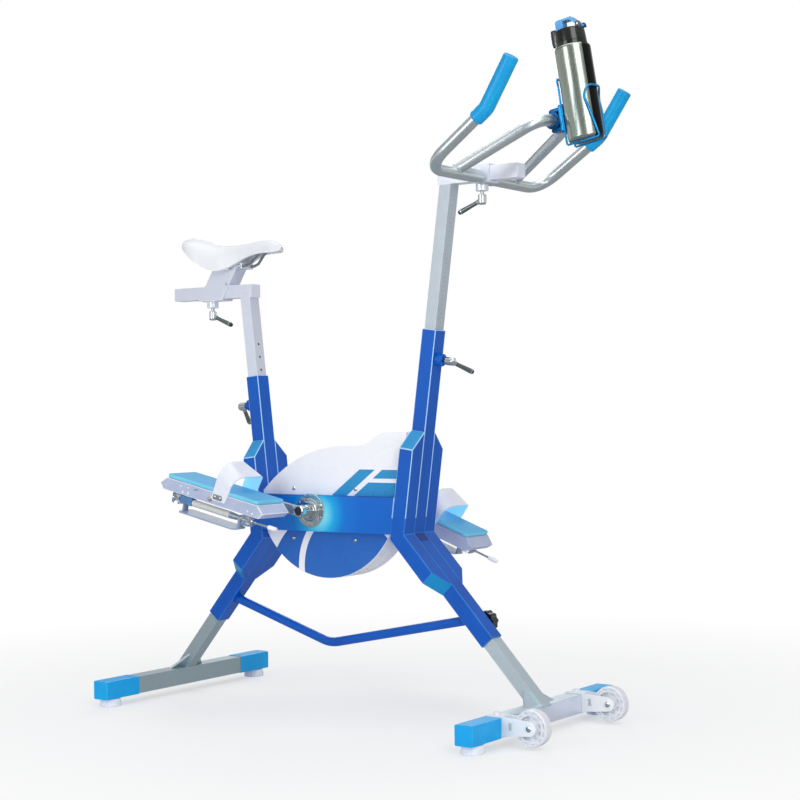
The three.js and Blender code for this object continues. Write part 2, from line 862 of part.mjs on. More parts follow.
// An arch over the foot, high at the instep and lower towards the toe.
function footStrap() {
  const inner = pedalWidth / 2 + seatGap;
  const outside = strapArch(inner + strapThickness, strapRearTop, strapCorner + strapThickness);
  const inside = strapArch(inner, strapRearTop - strapThickness, strapCorner);
  const band = cut(acrossX(outside, 0, strapLength),
    acrossX(inside, -overrun, strapLength + overrun).translate(0, 0, -seatGap));
  const place = band.getAttribute("position");
  const lowShare = strapFrontTop / strapRearTop;
  for (let i = 0; i < place.count; i += 1) {
    const forward = place.getX(i) / strapLength;
    const rise = Math.max(place.getZ(i), 0);
    place.setX(i, place.getX(i) + strapStart + strapLean * rise / strapRearTop);
    if (rise > 0) place.setZ(i, rise * (1 + (lowShare - 1) * forward));
  }
  const spindleRoom = crossRod(spindleRadius + 2 * seatGap, -pedalWidth, pedalWidth);
  return cut(band, spindleRoom);
}

function strapArch(half, top, corner) {
  const shape = new THREE.Shape();
  shape.moveTo(-half, strapBase);
  shape.lineTo(half, strapBase);
  shape.lineTo(half, top - corner);
  shape.absarc(half - corner, top - corner, corner, 0, Math.PI / 2);
  shape.lineTo(-half + corner, top);
  shape.absarc(-half + corner, top - corner, corner, Math.PI / 2, Math.PI);
  return shape;
}

// The rod under the pedal's outer edge, held in two knuckles, with the index pin of the flap.
function flapRod() {
  const knuckleTop = flapRodDrop + pedalBottom - seatGap;
  const rod = forwardRod(flapRodRadius, knuckleStart + overrun, knuckleEnd - overrun, smallSides);
  const tube = forwardRod(flapTubeRadius, flapTubeStart, flapTubeEnd, smallSides);
  const knuckles = [knuckleStart, knuckleEnd - knuckleLength].map((start) => boxBetween(
    [start, -knuckleWidth / 2, knuckleTop - knuckleHeight],
    [start + knuckleLength, knuckleWidth / 2, knuckleTop],
  ));
  const pin = forwardRod(pinRadius, knuckleEnd - overrun, pinKnobEnd, smallSides);
  const knob = forwardRod(pinKnobRadius, pinKnobStart, pinKnobEnd, smallSides);
  return joined(rod, tube, ...knuckles, pin, knob);
}

// A flat paddle that hangs from the rod on two ears and turns about it.
function resistanceFlap() {
  const plate = boxBetween([flapStart, -flapWidth / 2, -flapDrop - flapThickness],
    [flapEnd, flapWidth / 2, -flapDrop]);
  const ears = [flapStart, flapEnd - flapEarThickness].map((start) => joined(
    boxBetween([start, -flapEarWidth / 2, -flapDrop - flapThickness / 2],
      [start + flapEarThickness, flapEarWidth / 2, 0]),
    forwardRod(flapEarWidth / 2, start, start + flapEarThickness, smallSides),
  ));
  const bore = forwardRod(flapRodRadius + seatGap, flapStart - overrun, flapEnd + overrun,
    smallSides);
  return cut(joined(plate, ...ears), bore);
}

for (const { side, sign, toeAngle } of pedalSides) {
  piece(crankTurn, `${side}_crank_arm`, crankArm(sign), finishes.chrome);
  const eye = group(crankTurn, sign * crankLength, 0, 0);
  piece(eye, `${side}_pedal_spindle`, pedalSpindle(sign), finishes.satinSteel);
  const pedal = group(eye, 0, sign * pedalMiddle, 0, toeAngle - crankAngle);
  const body = pedalBody();
  piece(pedal, `${side}_pedal_body`, sign > 0 ? body : mirroredY(body), finishes.pedalGrey);
  piece(pedal, `${side}_foot_pad`, footPad(), finishes.foamBlue);
  piece(pedal, `${side}_foot_strap`, footStrap(), finishes.whiteGloss);
  const rod = group(pedal, 0, sign * (pedalWidth / 2 - flapRodInset), -flapRodDrop);
  piece(rod, `${side}_flap_rod`, flapRod(), finishes.chrome);
  piece(rod, `${side}_resistance_flap`, resistanceFlap(), finishes.clearPlastic);
}

// Posts: a square tube in the upright with a level rail welded across its top. The rail
// reaches back to the post's far side and its open end is at the other end.
function postWithRail(turn, inside, outside, railLength, direction) {
  const angle = radians(turn);
  const post = standingBox(postDepth, postWidth, inside + outside + topRailHeight / 2)
    .translate(0, 0, -inside).rotateY(angle);
  const postBore = standingBox(postDepth - 2 * postWall, postWidth - 2 * postWall,
    inside + outside - topRailWall + overrun).translate(0, 0, -inside - overrun).rotateY(angle);
  const topX = outside * Math.sin(angle);
  const topZ = outside * Math.cos(angle);
  const back = topX - direction * topRailOverhang;
  const front = back + direction * railLength;
  const rail = boxBetween(
    [Math.min(back, front), -topRailWidth / 2, topZ],
    [Math.max(back, front), topRailWidth / 2, topZ + topRailHeight],
  );
  const boreEnds = [back + direction * topRailWall, front + direction * overrun];
  const railBore = boxBetween(
    [Math.min(...boreEnds), -topRailWidth / 2 + topRailWall, topZ + topRailWall],
    [Math.max(...boreEnds), topRailWidth / 2 - topRailWall, topZ + topRailHeight - topRailWall],
  );
  return cut(joined(post, rail), postBore, railBore);
}

const seatTop = group(rearKnee, seatSleeveUp * Math.sin(radians(seatAngle)), 0,
  seatSleeveUp * Math.cos(radians(seatAngle)));
piece(seatTop, "seat_post",
  postWithRail(seatAngle, seatPostIn, seatPostOut, seatRailLength, -1), finishes.satinSteel);

const barTop = group(frontKnee, barSleeveUp * Math.sin(radians(barLean)), 0,
  barSleeveUp * Math.cos(radians(barLean)));
piece(barTop, "bar_post",
  postWithRail(barLean, barPostIn, barPostOut, barRailLength, 1), finishes.satinSteel);

// Sliders, drawn with the middle of the rail at the origin
function railPassage(length) {
  return box(length, topRailWidth + 2 * slideGap, topRailHeight + 2 * slideGap);
}

function sliderBoss(bossBack) {
  return boss().rotateX(Math.PI).translate(-bossBack, 0, -sliderHeight / 2);
}

function sliderBossHole(bossBack) {
  return bossHole(sliderWall).rotateX(Math.PI).translate(-bossBack, 0, -sliderHeight / 2);
}

function saddleSlider() {
  const bottom = -sliderHeight / 2;
  const top = topRailHeight / 2 + saddleSliderRise;
  const shift = (top - bottom) * Math.tan(radians(saddleSliderLean));
  const half = saddleSliderLength / 2;
  const side = outline([[-half, bottom], [half, bottom], [half + shift, top], [-half + shift, top]]);
  const sleeve = acrossY(side, -sliderWidth / 2, sliderWidth / 2);
  return cut(joined(sleeve, sliderBoss(saddleBossBack)), railPassage(cutterSize),
    sliderBossHole(saddleBossBack));
}

function barSlider() {
  const sleeve = box(barSliderLength, sliderWidth, sliderHeight);
  return cut(joined(sleeve, sliderBoss(barBossBack)), railPassage(cutterSize),
    sliderBossHole(barBossBack));
}

const seatSlide = group(seatTop, seatPostOut * Math.sin(radians(seatAngle)) - saddleSliderBack, 0,
  seatPostOut * Math.cos(radians(seatAngle)) + topRailHeight / 2);
piece(seatSlide, "saddle_slider", saddleSlider(), finishes.satinSteel);

const barSlide = group(barTop, barPostOut * Math.sin(radians(barLean)) + barSliderForward, 0,
  barPostOut * Math.cos(radians(barLean)) + topRailHeight / 2);
piece(barSlide, "bar_slider", barSlider(), finishes.satinSteel);

// The jaws on the slider hold the two saddle wires.
const clampMiddle = topRailHeight / 2 + saddleSliderRise + seatGap + clampRise / 2;
const saddleSeat = group(seatSlide, clampForward, 0, clampMiddle);

function saddleClamp() {
  const jaws = box(clampLength, clampWidth, clampRise);
  const grooves = [-1, 1].map((sign) => forwardRod(wireRadius + 2 * seatGap,
    -clampLength, clampLength, smallSides).translate(0, sign * wireSpread, 0));
  return cut(jaws, ...grooves);
}

// Saddle: rings of an upside-down U, one for each station from the tail to the nose.
// A row holds shares of the length, half width, top and skirt, and how hollow the ring is.
const saddleShares = [
  [0.000, 0.55, 0.86, 0.66, 0.05],
  [0.035, 0.86, 0.96, 0.60, 0.50],
  [0.090, 0.98, 1.00, 0.42, 0.90],
  [0.150, 1.00, 1.00, 0.24, 1.00],
  [0.220, 0.97, 0.96, 0.10, 1.00],
  [0.300, 0.84, 0.89, 0.01, 1.00],
  [0.380, 0.66, 0.81, 0.00, 1.00],
  [0.470, 0.51, 0.77, 0.09, 1.00],
  [0.560, 0.41, 0.75, 0.23, 1.00],
  [0.660, 0.33, 0.76, 0.34, 1.00],
  [0.760, 0.29, 0.79, 0.42, 1.00],
  [0.860, 0.27, 0.79, 0.44, 1.00],
  [0.930, 0.24, 0.75, 0.44, 0.80],
  [0.975, 0.18, 0.68, 0.46, 0.40],
  [1.000, 0.09, 0.58, 0.50, 0.05],
];

function saddleRing([alongShare, widthShare, topShare, skirtShare, hollowShare]) {
  const x = alongShare * saddleLength - saddleBack;
  const half = widthShare * saddleHalfWidth;
  const span = saddleTopRise - saddleSkirtRise;
  const skirt = saddleSkirtRise + skirtShare * span;
  const rise = (topShare - skirtShare) * span;
  const shell = Math.min(saddleShell, half / 2, rise / 2);
  const arch = (width, height) => Array.from({ length: saddleRingSteps + 1 }, (_, i) => {
    const turn = Math.PI * i / saddleRingSteps;
    const level = skirt + height * Math.sin(turn) ** saddleRoundShare;
    return new THREE.Vector3(x, width * Math.cos(turn), level);
  });
  const inner = arch((half - shell) * Math.sqrt(hollowShare), (rise - shell) * hollowShare);
  return [...arch(half, rise), ...inner.reverse()];
}

// A closed skin through rings with the same number of points, capped at both ends.
function lofted(rings) {
  const corners = [];
  const count = rings[0].length;
  for (let i = 0; i < rings.length - 1; i += 1) {
    for (let j = 0; j < count; j += 1) {
      const next = (j + 1) % count;
      corners.push(rings[i][j], rings[i][next], rings[i + 1][j]);
      corners.push(rings[i][next], rings[i + 1][next], rings[i + 1][j]);
    }
  }
  const ends = [rings[0], rings[rings.length - 1]];
  ends.forEach((ring, end) => {
    const flat = ring.map((point) => new THREE.Vector2(point.y, point.z));
    for (const [a, b, c] of THREE.ShapeUtils.triangulateShape(flat, [])) {
      const order = end === 0 ? [c, b, a] : [a, b, c];
      corners.push(...order.map((index) => ring[index]));
    }
  });
  const geometry = new THREE.BufferGeometry().setFromPoints(corners);
  geometry.computeVertexNormals();
  return geometry;
}

function saddleBody() {
  return lofted(saddleShares.map(saddleRing)).translate(0, 0, -clampMiddle);
}

// Two wires that run through the jaws, meet at the nose and rise into the shell.
function saddleWires() {
  const wires = [-1, 1].map((sign) => roundTube(bentRoute([
    [-wireRearBack, sign * wireRearSpread, wireRearRise],
    [-wireStraight - wireBendRadius / 2, sign * wireSpread, 0],
    [wireStraight + wireBendRadius / 2, sign * wireSpread, 0],
    [wireFrontForward, sign * wireFrontSpread, wireFrontRise],
  ], [wireBendRadius, wireBendRadius]), wireRadius, wireSteps, wireSides));
  const bridge = crossRod(wireRadius, -wireFrontSpread, wireFrontSpread, wireSides)
    .translate(wireFrontForward - wireRadius, 0, wireFrontRise - 2 * wireRadius);
  const saddle = saddleBody();
  return cut(joined(...wires, bridge), saddle.clone().translate(0, 0, -seatGap), saddle);
}

piece(saddleSeat, "saddle_clamp", saddleClamp(), finishes.satinSteel);
piece(saddleSeat, "saddle_wires", saddleWires(), finishes.satinSteel);
piece(saddleSeat, "saddle", saddleBody(), finishes.whiteGloss);

// Handlebar: two bent halves welded to the slider's sides, tied by a loop in front
function barHalfRoute(sign) {
  return bentRoute([
    [0, sign * (sliderWidth / 2 - overrun), -barDrop],
    [barCornerForward, sign * barCornerSide, -barCornerDrop],
    [gripBendForward, sign * gripBendSide, gripBendRise],
    [barEndForward, sign * barEndSide, barEndRise],
  ], [barBendRadius, gripBendRadius]);
}

function loopRoute() {
  const alongShare = loopBaseSide / barCornerSide;
  const base = [barCornerForward * alongShare,
    loopBaseRise - barDrop - (barCornerDrop - barDrop) * alongShare];
  return bentRoute([
    [base[0], loopBaseSide, base[1]],
    [loopFrontForward, loopFrontSide, loopFrontRise],
    [loopFrontForward, -loopFrontSide, loopFrontRise],
    [base[0], -loopBaseSide, base[1]],
  ], [loopBendRadius, loopBendRadius]);
}

function handlebar() {
  const halves = [-1, 1].map((sign) => roundTube(barHalfRoute(sign), barRadius, barSteps));
  const sliderRoom = box(3 * barRadius, sliderWidth + 2 * seatGap, 3 * barRadius)
    .translate(0, 0, -barDrop);
  return cut(joined(...halves, roundTube(loopRoute(), barRadius, loopSteps)), sliderRoom);
}

// A rubber sleeve over the end of one half, from below its last bend
function grip(sign) {
  const corner = new THREE.Vector3(barCornerForward, sign * barCornerSide, -barCornerDrop);
  const bend = new THREE.Vector3(gripBendForward, sign * gripBendSide, gripBendRise);
  const end = new THREE.Vector3(barEndForward, sign * barEndSide, barEndRise);
  const up = bend.clone().sub(corner).normalize();
  const tip = end.clone().sub(bend).normalize();
  const start = bend.clone().addScaledVector(up, -gripBelowBend);
  const beyond = placed(standingBox(cutterSize, cutterSize, cutterSize), start, up);
  const sleeve = roundTube(barHalfRoute(sign), barRadius + gripWall, barSteps);
  const bore = roundTube(barHalfRoute(sign), barRadius + seatGap, barSteps);
  const cap = placed(uprightRod(barRadius + gripWall, -overrun, seatGap + gripEndWall, barSides),
    end, tip);
  const endRoom = placed(uprightRod(barRadius + seatGap, -overrun, seatGap, barSides), end, tip);
  return cut(joined(shared(sleeve, beyond), cap), bore, endRoom);
}

piece(barSlide, "handlebar", handlebar(), finishes.satinSteel);
piece(barSlide, "left_grip", grip(1), finishes.skyBlue);
piece(barSlide, "right_grip", grip(-1), finishes.skyBlue);

// A clamp lever: a screw through the boss, a hub outside it and a handle across the hub.
// The wall is the one that the screw passes through. The turn swings the handle round.
function clampLever(wall, turn) {
  const hubStart = bossLength + leverGap;
  const stud = uprightRod(studRadius, -wall, hubStart + overrun, smallSides);
  const hub = uprightRod(leverHubRadius, hubStart, hubStart + leverHubLength, smallSides);
  const handle = turned([
    [0, 0],
    [handleRadius, 0],
    [handleTipRadius, handleLength - handleTipRadius],
    [handleTipRadius / 2, handleLength],
    [0, handleLength],
  ], smallSides).rotateX(radians(handleTilt) - Math.PI / 2);
  handle.translate(0, 0, hubStart + leverHubLength / 2);
  return joined(stud, hub, handle).rotateZ(radians(turn));
}

function sliderLever(turn, bossBack) {
  return clampLever(sliderWall, turn).rotateX(Math.PI).translate(-bossBack, 0, -sliderHeight / 2);
}

piece(rearKnee, "seat_height_lever",
  onFace(clampLever(sleeveWall, seatLeverAngle), seatAngle, seatLeverUp, -1), finishes.blackPlastic);
piece(frontKnee, "bar_height_lever",
  onFace(clampLever(sleeveWall, -barLeverAngle), barLean, barLeverUp, 1), finishes.blackPlastic);
piece(seatSlide, "saddle_lever", sliderLever(-90, saddleBossBack), finishes.blackPlastic);
piece(barSlide, "bar_reach_lever", sliderLever(90, barBossBack), finishes.blackPlastic);

// Knob on the far side of the front leg's sleeve
function lobedOutline(radius, lobes, depth) {
  const count = 4 * lobes;
  return outline(Array.from({ length: count }, (_, i) => {
    const turn = 2 * Math.PI * i / count;
    const reach = radius - depth * (1 - Math.cos(lobes * turn)) / 2;
    return [reach * Math.cos(turn), reach * Math.sin(turn)];
  }));
}

function legKnob() {
  const start = sleeveWidth / 2 + legKnobStandoff;
  const rim = acrossY(lobedOutline(legKnobRadius, legKnobRibs, legKnobRib), start,
    start + legKnobThickness);
  return joined(rim, crossRod(studRadius, postWidth / 2 + seatGap, start + overrun, smallSides));
}

piece(group(frontLeg, 0, 0, legKnobDown), "front_leg_knob", legKnob(), finishes.blackPlastic);

// Foot frames: a leg that slides in its sleeve, welded with two gussets on a cross beam
function footFrame(turn, legLength) {
  const angle = radians(turn);
  const beamLength = footWidth - 2 * (capEndWall + seatGap);
  const beam = box(beamSide, beamLength, beamSide).translate(0, 0, beamMiddle);
  const hollow = beamSide - 2 * beamWall;
  const beamBore = box(hollow, beamLength + overrun, hollow).translate(0, 0, beamMiddle);
  const leg = standingBox(postDepth, postWidth, legLength + postDepth)
    .translate(0, 0, -postDepth);
  const half = postWidth / 2;
  const gusset = acrossX(outline([
    [half - postWall, -postDepth],
    [half + gussetReach, -postDepth],
    [half + gussetReach, 0],
    [half - postWall, gussetRise],
  ]), -gussetThickness / 2, gussetThickness / 2);
  const legBore = standingBox(postDepth - 2 * postWall, postWidth - 2 * postWall,
    legLength + overrun).translate(0, 0, postDepth);
  const below = boxBetween([-cutterSize, -cutterSize, -cutterSize],
    [cutterSize, cutterSize, beamTop - seatGap]);
  const upper = cut(joined(leg, gusset, mirroredY(gusset)), legBore)
    .rotateY(angle).translate(0, 0, beamTop);
  return joined(cut(beam, beamBore), cut(upper, below));
}

function beamCap(sign) {
  const outer = beamSide + 2 * capWall;
  const inner = beamSide + 2 * seatGap;
  const end = footWidth / 2;
  const block = acrossY(roundedRectangle(outer, outer, capCorner), end - capLength, end, 1);
  const bore = boxBetween([-inner / 2, end - capLength - overrun, -inner / 2],
    [inner / 2, end - capEndWall, inner / 2]);
  const left = cut(block, bore);
  return sign > 0 ? left : mirroredY(left);
}

function rubberFoot() {
  const top = footHeight - seatGap;
  return turned([[0, 0], [footRadius, 0], [footRadius, footRim], [footTopRadius, top], [0, top]]);
}

const rearFoot = group(bike, 0, 0, 0);
const frontFoot = group(bike, beamSpacing, 0, 0);
const rearLegReach = (rearKneeHeight - beamTop) / Math.cos(radians(rearLegAngle));
const frontLegReach = (frontKneeHeight - beamTop) / Math.cos(radians(frontLegAngle));
const rearLegLength = rearLegReach - rearSleeveDown + rearLegIn;
const frontLegLength = frontLegReach - frontSleeveDown + frontLegIn;
piece(rearFoot, "rear_foot_frame", footFrame(rearLegAngle, rearLegLength), finishes.satinSteel);
piece(frontFoot, "front_foot_frame", footFrame(-frontLegAngle, frontLegLength),
  finishes.satinSteel);

for (const [end, foot] of [["rear", rearFoot], ["front", frontFoot]]) {
  for (const [side, sign] of [["left", 1], ["right", -1]]) {
    const capPlace = group(foot, 0, 0, beamMiddle);
    piece(capPlace, `${end}_${side}_cap`, beamCap(sign), finishes.skyBlue);
    const footPlace = group(foot, 0, sign * (footWidth / 2 - footInset), 0);
    piece(footPlace, `${end}_${side}_foot`, rubberFoot(), finishes.whiteRubber);
  }
}

// Transport wheels, each on its own axle in a fork bolted over the front beam
function wheelBracket() {
  const inner = wheelWidth / 2 + wheelSideGap;
  const outer = inner + wheelArmThickness;
  const start = beamSide / 2 + seatGap;
  const plateLow = beamTop + seatGap;
  const plateTop = plateLow + wheelPlate;
  const side = new THREE.Shape();
  side.moveTo(start, wheelArmLow);
  side.lineTo(wheelForward, wheelHeight - wheelArmRound);
  side.absarc(wheelForward, wheelHeight, wheelArmRound, -Math.PI / 2, Math.PI / 2);
  side.lineTo(start, plateTop);
  const arms = [acrossY(side, inner, outer), acrossY(side, -outer, -inner)];
  const front = boxBetween([start, -outer, wheelArmLow], [start + wheelPlate, outer, plateTop]);
  const top = boxBetween([-beamSide / 2, -outer, plateLow], [start + wheelPlate, outer, plateTop]);
  const slot = box(wheelSlotLength, cutterSize, wheelSlotHeight)
    .translate(wheelSlotForward, 0, wheelHeight);
  const axle = crossRod(wheelBore - seatGap, -outer - wheelAxleHead, outer + wheelAxleHead,
    smallSides).translate(wheelForward, 0, wheelHeight);
  const bolt = uprightRod(wheelBoltRadius, plateTop - wheelPlate / 2, plateTop + wheelBoltHead,
    hexSides);
  return joined(cut(joined(...arms, front, top), slot), axle, bolt);
}

function transportWheel() {
  const half = wheelWidth / 2;
  const web = wheelWeb / 2;
  const profile = [
    [wheelBore, -half],
    [wheelHubRadius, -half],
    [wheelHubRadius, -web],
    [wheelTreadInner, -web],
    [wheelTreadInner, -half],
    [wheelRadius - wheelEdge, -half],
    [wheelRadius, -half + wheelEdge],
    [wheelRadius, half - wheelEdge],
    [wheelRadius - wheelEdge, half],
    [wheelTreadInner, half],
    [wheelTreadInner, web],
    [wheelHubRadius, web],
    [wheelHubRadius, half],
    [wheelBore, half],
    [wheelBore, -half],
  ];
  return turned(profile).rotateX(Math.PI / 2);
}

for (const [side, sign] of [["left", 1], ["right", -1]]) {
  const fork = group(frontFoot, 0, sign * wheelSide, 0);
  piece(fork, `${side}_wheel_bracket`, wheelBracket(), finishes.satinSteel);
  const axle = group(fork, wheelForward, 0, wheelHeight);
  piece(axle, `${side}_wheel`, transportWheel(), finishes.clearPlastic);
}

// Bottle, drawn upright about its base and leant back with its cage
const bottleSeat = group(barSlide, bottleForward, 0, bottleRise, -bottleLean);

function bottle() {
  const shoulder = bottleHeight - bottleShoulder;
  return turned([
    [0, 0],
    [bottleRadius - bottleEdge, 0],
    [bottleRadius, bottleEdge],
    [bottleRadius, shoulder],
    [bottleMouthRadius + bottleRim, bottleHeight],
    [bottleMouthRadius, bottleHeight],
    [bottleMouthRadius, bottleHeight - bottleWall],
    [bottleRadius - bottleWall, shoulder - bottleWall],
    [bottleRadius - bottleWall, bottleWall],
    [0, bottleWall],
  ]);
}

// Screw lid with a plug in the bottle's mouth, a latch behind and two ears with a pin in front
function bottleLid() {
  const start = bottleHeight + seatGap;
  const top = bottleHeight + lidHeight;
  const plug = bottleMouthRadius - seatGap;
  const collar = turned([
    [0, start - lidPlug], [plug, start - lidPlug], [plug, start],
    [lidRadius, start], [lidTopRadius, top], [0, top],
  ]);
  const latch = boxBetween([-lidRadius - latchDepth, -latchWidth / 2, top + latchAbove - latchHeight],
    [-lidTopRadius + latchDepth / 3, latchWidth / 2, top + latchAbove]);
  const hinge = top + seatGap + flipEnd;
  const earInner = flipWidth / 2 + seatGap;
  const ears = [earInner, -earInner - flipEarWidth].map((y) => boxBetween(
    [flipHingeX - flipEnd, y, top - overrun], [flipHingeX + flipEnd, y + flipEarWidth, hinge + flipEnd],
  ));
  const pin = crossRod(flipPinRadius, -earInner - flipEarWidth / 2, earInner + flipEarWidth / 2,
    smallSides).translate(flipHingeX, 0, hinge);
  return joined(collar, latch, ...ears, pin);
}

// Flip spout with its carry loop, drawn about the hinge pin
function bottleFlip() {
  const back = -flipHingeX - flipBlockStart;
  const blockEnd = -flipHingeX - flipBlockEnd;
  const side = new THREE.Shape();
  side.moveTo(back, -flipEnd);
  side.lineTo(back, flipRise - 2 * flipEnd);
  side.lineTo(back + flipEnd, flipRise - flipEnd);
  side.lineTo(-flipHingeX + flipShoulderX, flipRise - flipEnd);
  side.lineTo(flipEnd, 0);
  side.absarc(0, 0, flipEnd, 0, -Math.PI, true);
  side.lineTo(-flipHingeX + flipShoulderX - flipBar, flipRise - flipEnd - flipBar);
  side.lineTo(blockEnd, flipRise - flipEnd - flipBar);
  side.lineTo(blockEnd, -flipEnd);
  const bore = crossRod(flipPinRadius + seatGap, -flipWidth, flipWidth, smallSides);
  return cut(acrossY(side, -flipWidth / 2, flipWidth / 2), bore);
}

piece(bottleSeat, "bottle", bottle(), finishes.satinSteel);
piece(bottleSeat, "bottle_lid", bottleLid(), finishes.blackPlastic);
piece(group(bottleSeat, flipHingeX, 0, bottleHeight + lidHeight + seatGap + flipEnd),
  "bottle_flip", bottleFlip(), finishes.skyBlue);

// The cage's wires lie just outside the bottle and under it.
const cageReach = bottleRadius + seatGap + cageWireRadius;

function cageBackWire(sign) {
  const under = -seatGap - cageWireRadius;
  return roundTube(bentRoute([
    [-cageReach, sign * cageWireSpread, cageHoopHeight],
    [-cageReach, sign * cageWireSpread, under],
    [cageReach, sign * cageWireSpread, under],
    [cageReach, sign * cageWireSpread, cageTipRise],
  ], [cageBendRadius, cageBendRadius]), cageWireRadius, cageBackSteps, cageSides);
}

function cageSideWire(sign) {
  const lowAngle = Math.asin(cageWireSpread / cageReach);
  const route = new THREE.CatmullRomCurve3(Array.from({ length: 5 }, (_, i) => {
    const share = i / 4;
    const turn = sign * (radians(cageSideAngle) * (1 - share) + lowAngle * share);
    const level = cageHoopHeight + (cageSideLow - cageHoopHeight) * share;
    return new THREE.Vector3(cageReach * Math.cos(turn), cageReach * Math.sin(turn), level);
  }));
  return roundTube(route, cageWireRadius, cageSideSteps, cageSides);
}

function bottleCage() {
  const lean = radians(bottleLean);
  const behind = loopFrontForward - bottleForward;
  const above = loopFrontRise - bottleRise;
  const ringX = behind * Math.cos(lean) + above * Math.sin(lean);
  const ringZ = above * Math.cos(lean) - behind * Math.sin(lean);
  const bore = barRadius + 2 * seatGap;
  const ring = crossRod(bore + clampRingWall, -clampRingWidth / 2, clampRingWidth / 2);
  const ringBore = crossRod(bore, -clampRingWidth, clampRingWidth);
  const clamp = cut(ring, ringBore).translate(ringX, 0, ringZ);
  const plate = boxBetween(
    [ringX + bore + clampRingWall / 2, -clampRingWidth / 2, ringZ - cagePlateHeight / 2],
    [-cageReach, clampRingWidth / 2, ringZ + cagePlateHeight / 2],
  );
  const hoop = new THREE.TorusGeometry(cageReach, cageWireRadius, cageSides, roundSides)
    .translate(0, 0, cageHoopHeight);
  const wires = [-1, 1].flatMap((sign) => [cageBackWire(sign), cageSideWire(sign)]);
  return cut(joined(clamp, plate, hoop, ...wires), uprightRod(bottleRadius + seatGap, -seatGap,
    bottleHeight));
}

piece(bottleSeat, "bottle_cage", bottleCage(), finishes.skyBlue);

// The origin goes on the floor, under the middle of the whole bike.
bike.updateMatrixWorld(true);
const whole = new THREE.Box3().setFromObject(bike, true);
bike.position.set(-(whole.min.x + whole.max.x) / 2, -(whole.min.y + whole.max.y) / 2, -whole.min.z);

export default bike;
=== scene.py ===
# %% [markdown]
# # A pool exercise bike, dressed in Blender
# The bike comes in as plain faceted solids, each riding on its own moving body. This lesson
# keeps every solid where it is and gives it the shape and finish of the real piece: rolled tube
# edges, sprayed paint, anodised aluminium, foam, rubber and a steel bottle. X points forward, Y
# to the rider's left and Z up. Blender counts in metres, and mm makes metres of millimetres.

import json
import math

import bmesh
import bpy
from mathutils import Matrix, Vector


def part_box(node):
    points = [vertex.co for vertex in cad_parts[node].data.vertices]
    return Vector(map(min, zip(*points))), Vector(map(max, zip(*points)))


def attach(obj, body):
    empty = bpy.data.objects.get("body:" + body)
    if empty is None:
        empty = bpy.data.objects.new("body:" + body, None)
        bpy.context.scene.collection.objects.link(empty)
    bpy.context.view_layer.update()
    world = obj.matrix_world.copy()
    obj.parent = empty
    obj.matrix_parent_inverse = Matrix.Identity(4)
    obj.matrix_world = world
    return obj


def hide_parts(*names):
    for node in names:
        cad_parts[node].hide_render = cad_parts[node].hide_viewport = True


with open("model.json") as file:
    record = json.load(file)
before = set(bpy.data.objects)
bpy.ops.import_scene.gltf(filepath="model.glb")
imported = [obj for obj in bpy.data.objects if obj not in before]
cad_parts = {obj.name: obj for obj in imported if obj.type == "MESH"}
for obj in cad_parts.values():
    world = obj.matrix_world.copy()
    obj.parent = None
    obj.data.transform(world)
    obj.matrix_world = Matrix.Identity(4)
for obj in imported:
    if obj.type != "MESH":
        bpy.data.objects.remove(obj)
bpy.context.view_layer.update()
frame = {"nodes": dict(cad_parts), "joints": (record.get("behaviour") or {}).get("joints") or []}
nodes = frame["nodes"]
mm = 0.001
both_sides = (("left", 1), ("right", -1))

# %% [markdown]
# ## Places
# Each sub-part has its own directions: a pedal tips with the foot, the bottle leans, a lever's
# screw stands on a sloping tube. A matrix holds such a place. The joints of the bike give most
# of them, so that nothing has to be measured twice.

# %% Places from the joints


def joint_at(name):
    """The point and the direction of a joint of the bike."""
    joint = next(j for j in frame["joints"] if j["name"] == name)
    return Vector(joint.get("pos_m", (0, 0, 0))), Vector(joint["axis"]).normalized()


def place(origin, x=None, y=None, z=None):
    """A place from its origin and two of its directions."""
    x = y.cross(z) if x is None else x
    y = z.cross(x) if y is None else y
    z = x.cross(y) if z is None else z
    return Matrix.Translation(origin) @ Matrix((x, y, z)).transposed().to_4x4()


def point(x, y, z):
    """A point whose three measures are in millimetres."""
    return Vector((x, y, z)) * mm


def moved(points, where):
    return [where @ Vector(p) for p in points]


forward, sideways, upward = Vector((1, 0, 0)), Vector((0, 1, 0)), Vector((0, 0, 1))
crank_centre = joint_at("crank_spin")[0]
seat_up = joint_at("seat_height")[1]
bar_up = joint_at("bar_height")[1]
front_leg_down = joint_at("front_leg_reach")[1]
slider_half_height = 19.8
saddle_slider, bar_slider = [
    place(joint_at(lever_turn)[0] + point(ahead, 0, slider_half_height), forward, sideways)
    for lever_turn, ahead in (("saddle_lever_turn", 8), ("bar_reach_lever_turn", 10.5))]
print("crank centre", [round(v, 4) for v in crank_centre])

# %% [markdown]
# ## Small tools for meshes
# A piece is drawn in its own directions, moved to its place inside the mesh, and given rounded
# edges by a Bevel modifier. Weighted normals keep the flat faces flat in the light. The result
# is then stored as a plain mesh, because a live modifier is work for every later step.

# %% Mesh tools


def added(name, data):
    """A new object at the origin."""
    obj = bpy.data.objects.new(name, data)
    bpy.context.scene.collection.objects.link(obj)
    return obj


def shown(name, bm, where=Matrix()):
    """A new piece whose mesh is moved to its place."""
    bm.transform(where)
    bmesh.ops.remove_doubles(bm, verts=bm.verts, dist=1e-6)
    bmesh.ops.recalc_face_normals(bm, faces=bm.faces)
    mesh = bpy.data.meshes.new(name)
    bm.to_mesh(mesh)
    bm.free()
    return added(name, mesh)


def settle(obj):
    """Stores what the modifiers make as the object's plain mesh."""
    graph = bpy.context.evaluated_depsgraph_get()
    mesh = bpy.data.meshes.new_from_object(obj.evaluated_get(graph), depsgraph=graph)
    obj.modifiers.clear()
    obj.data = mesh
    return obj


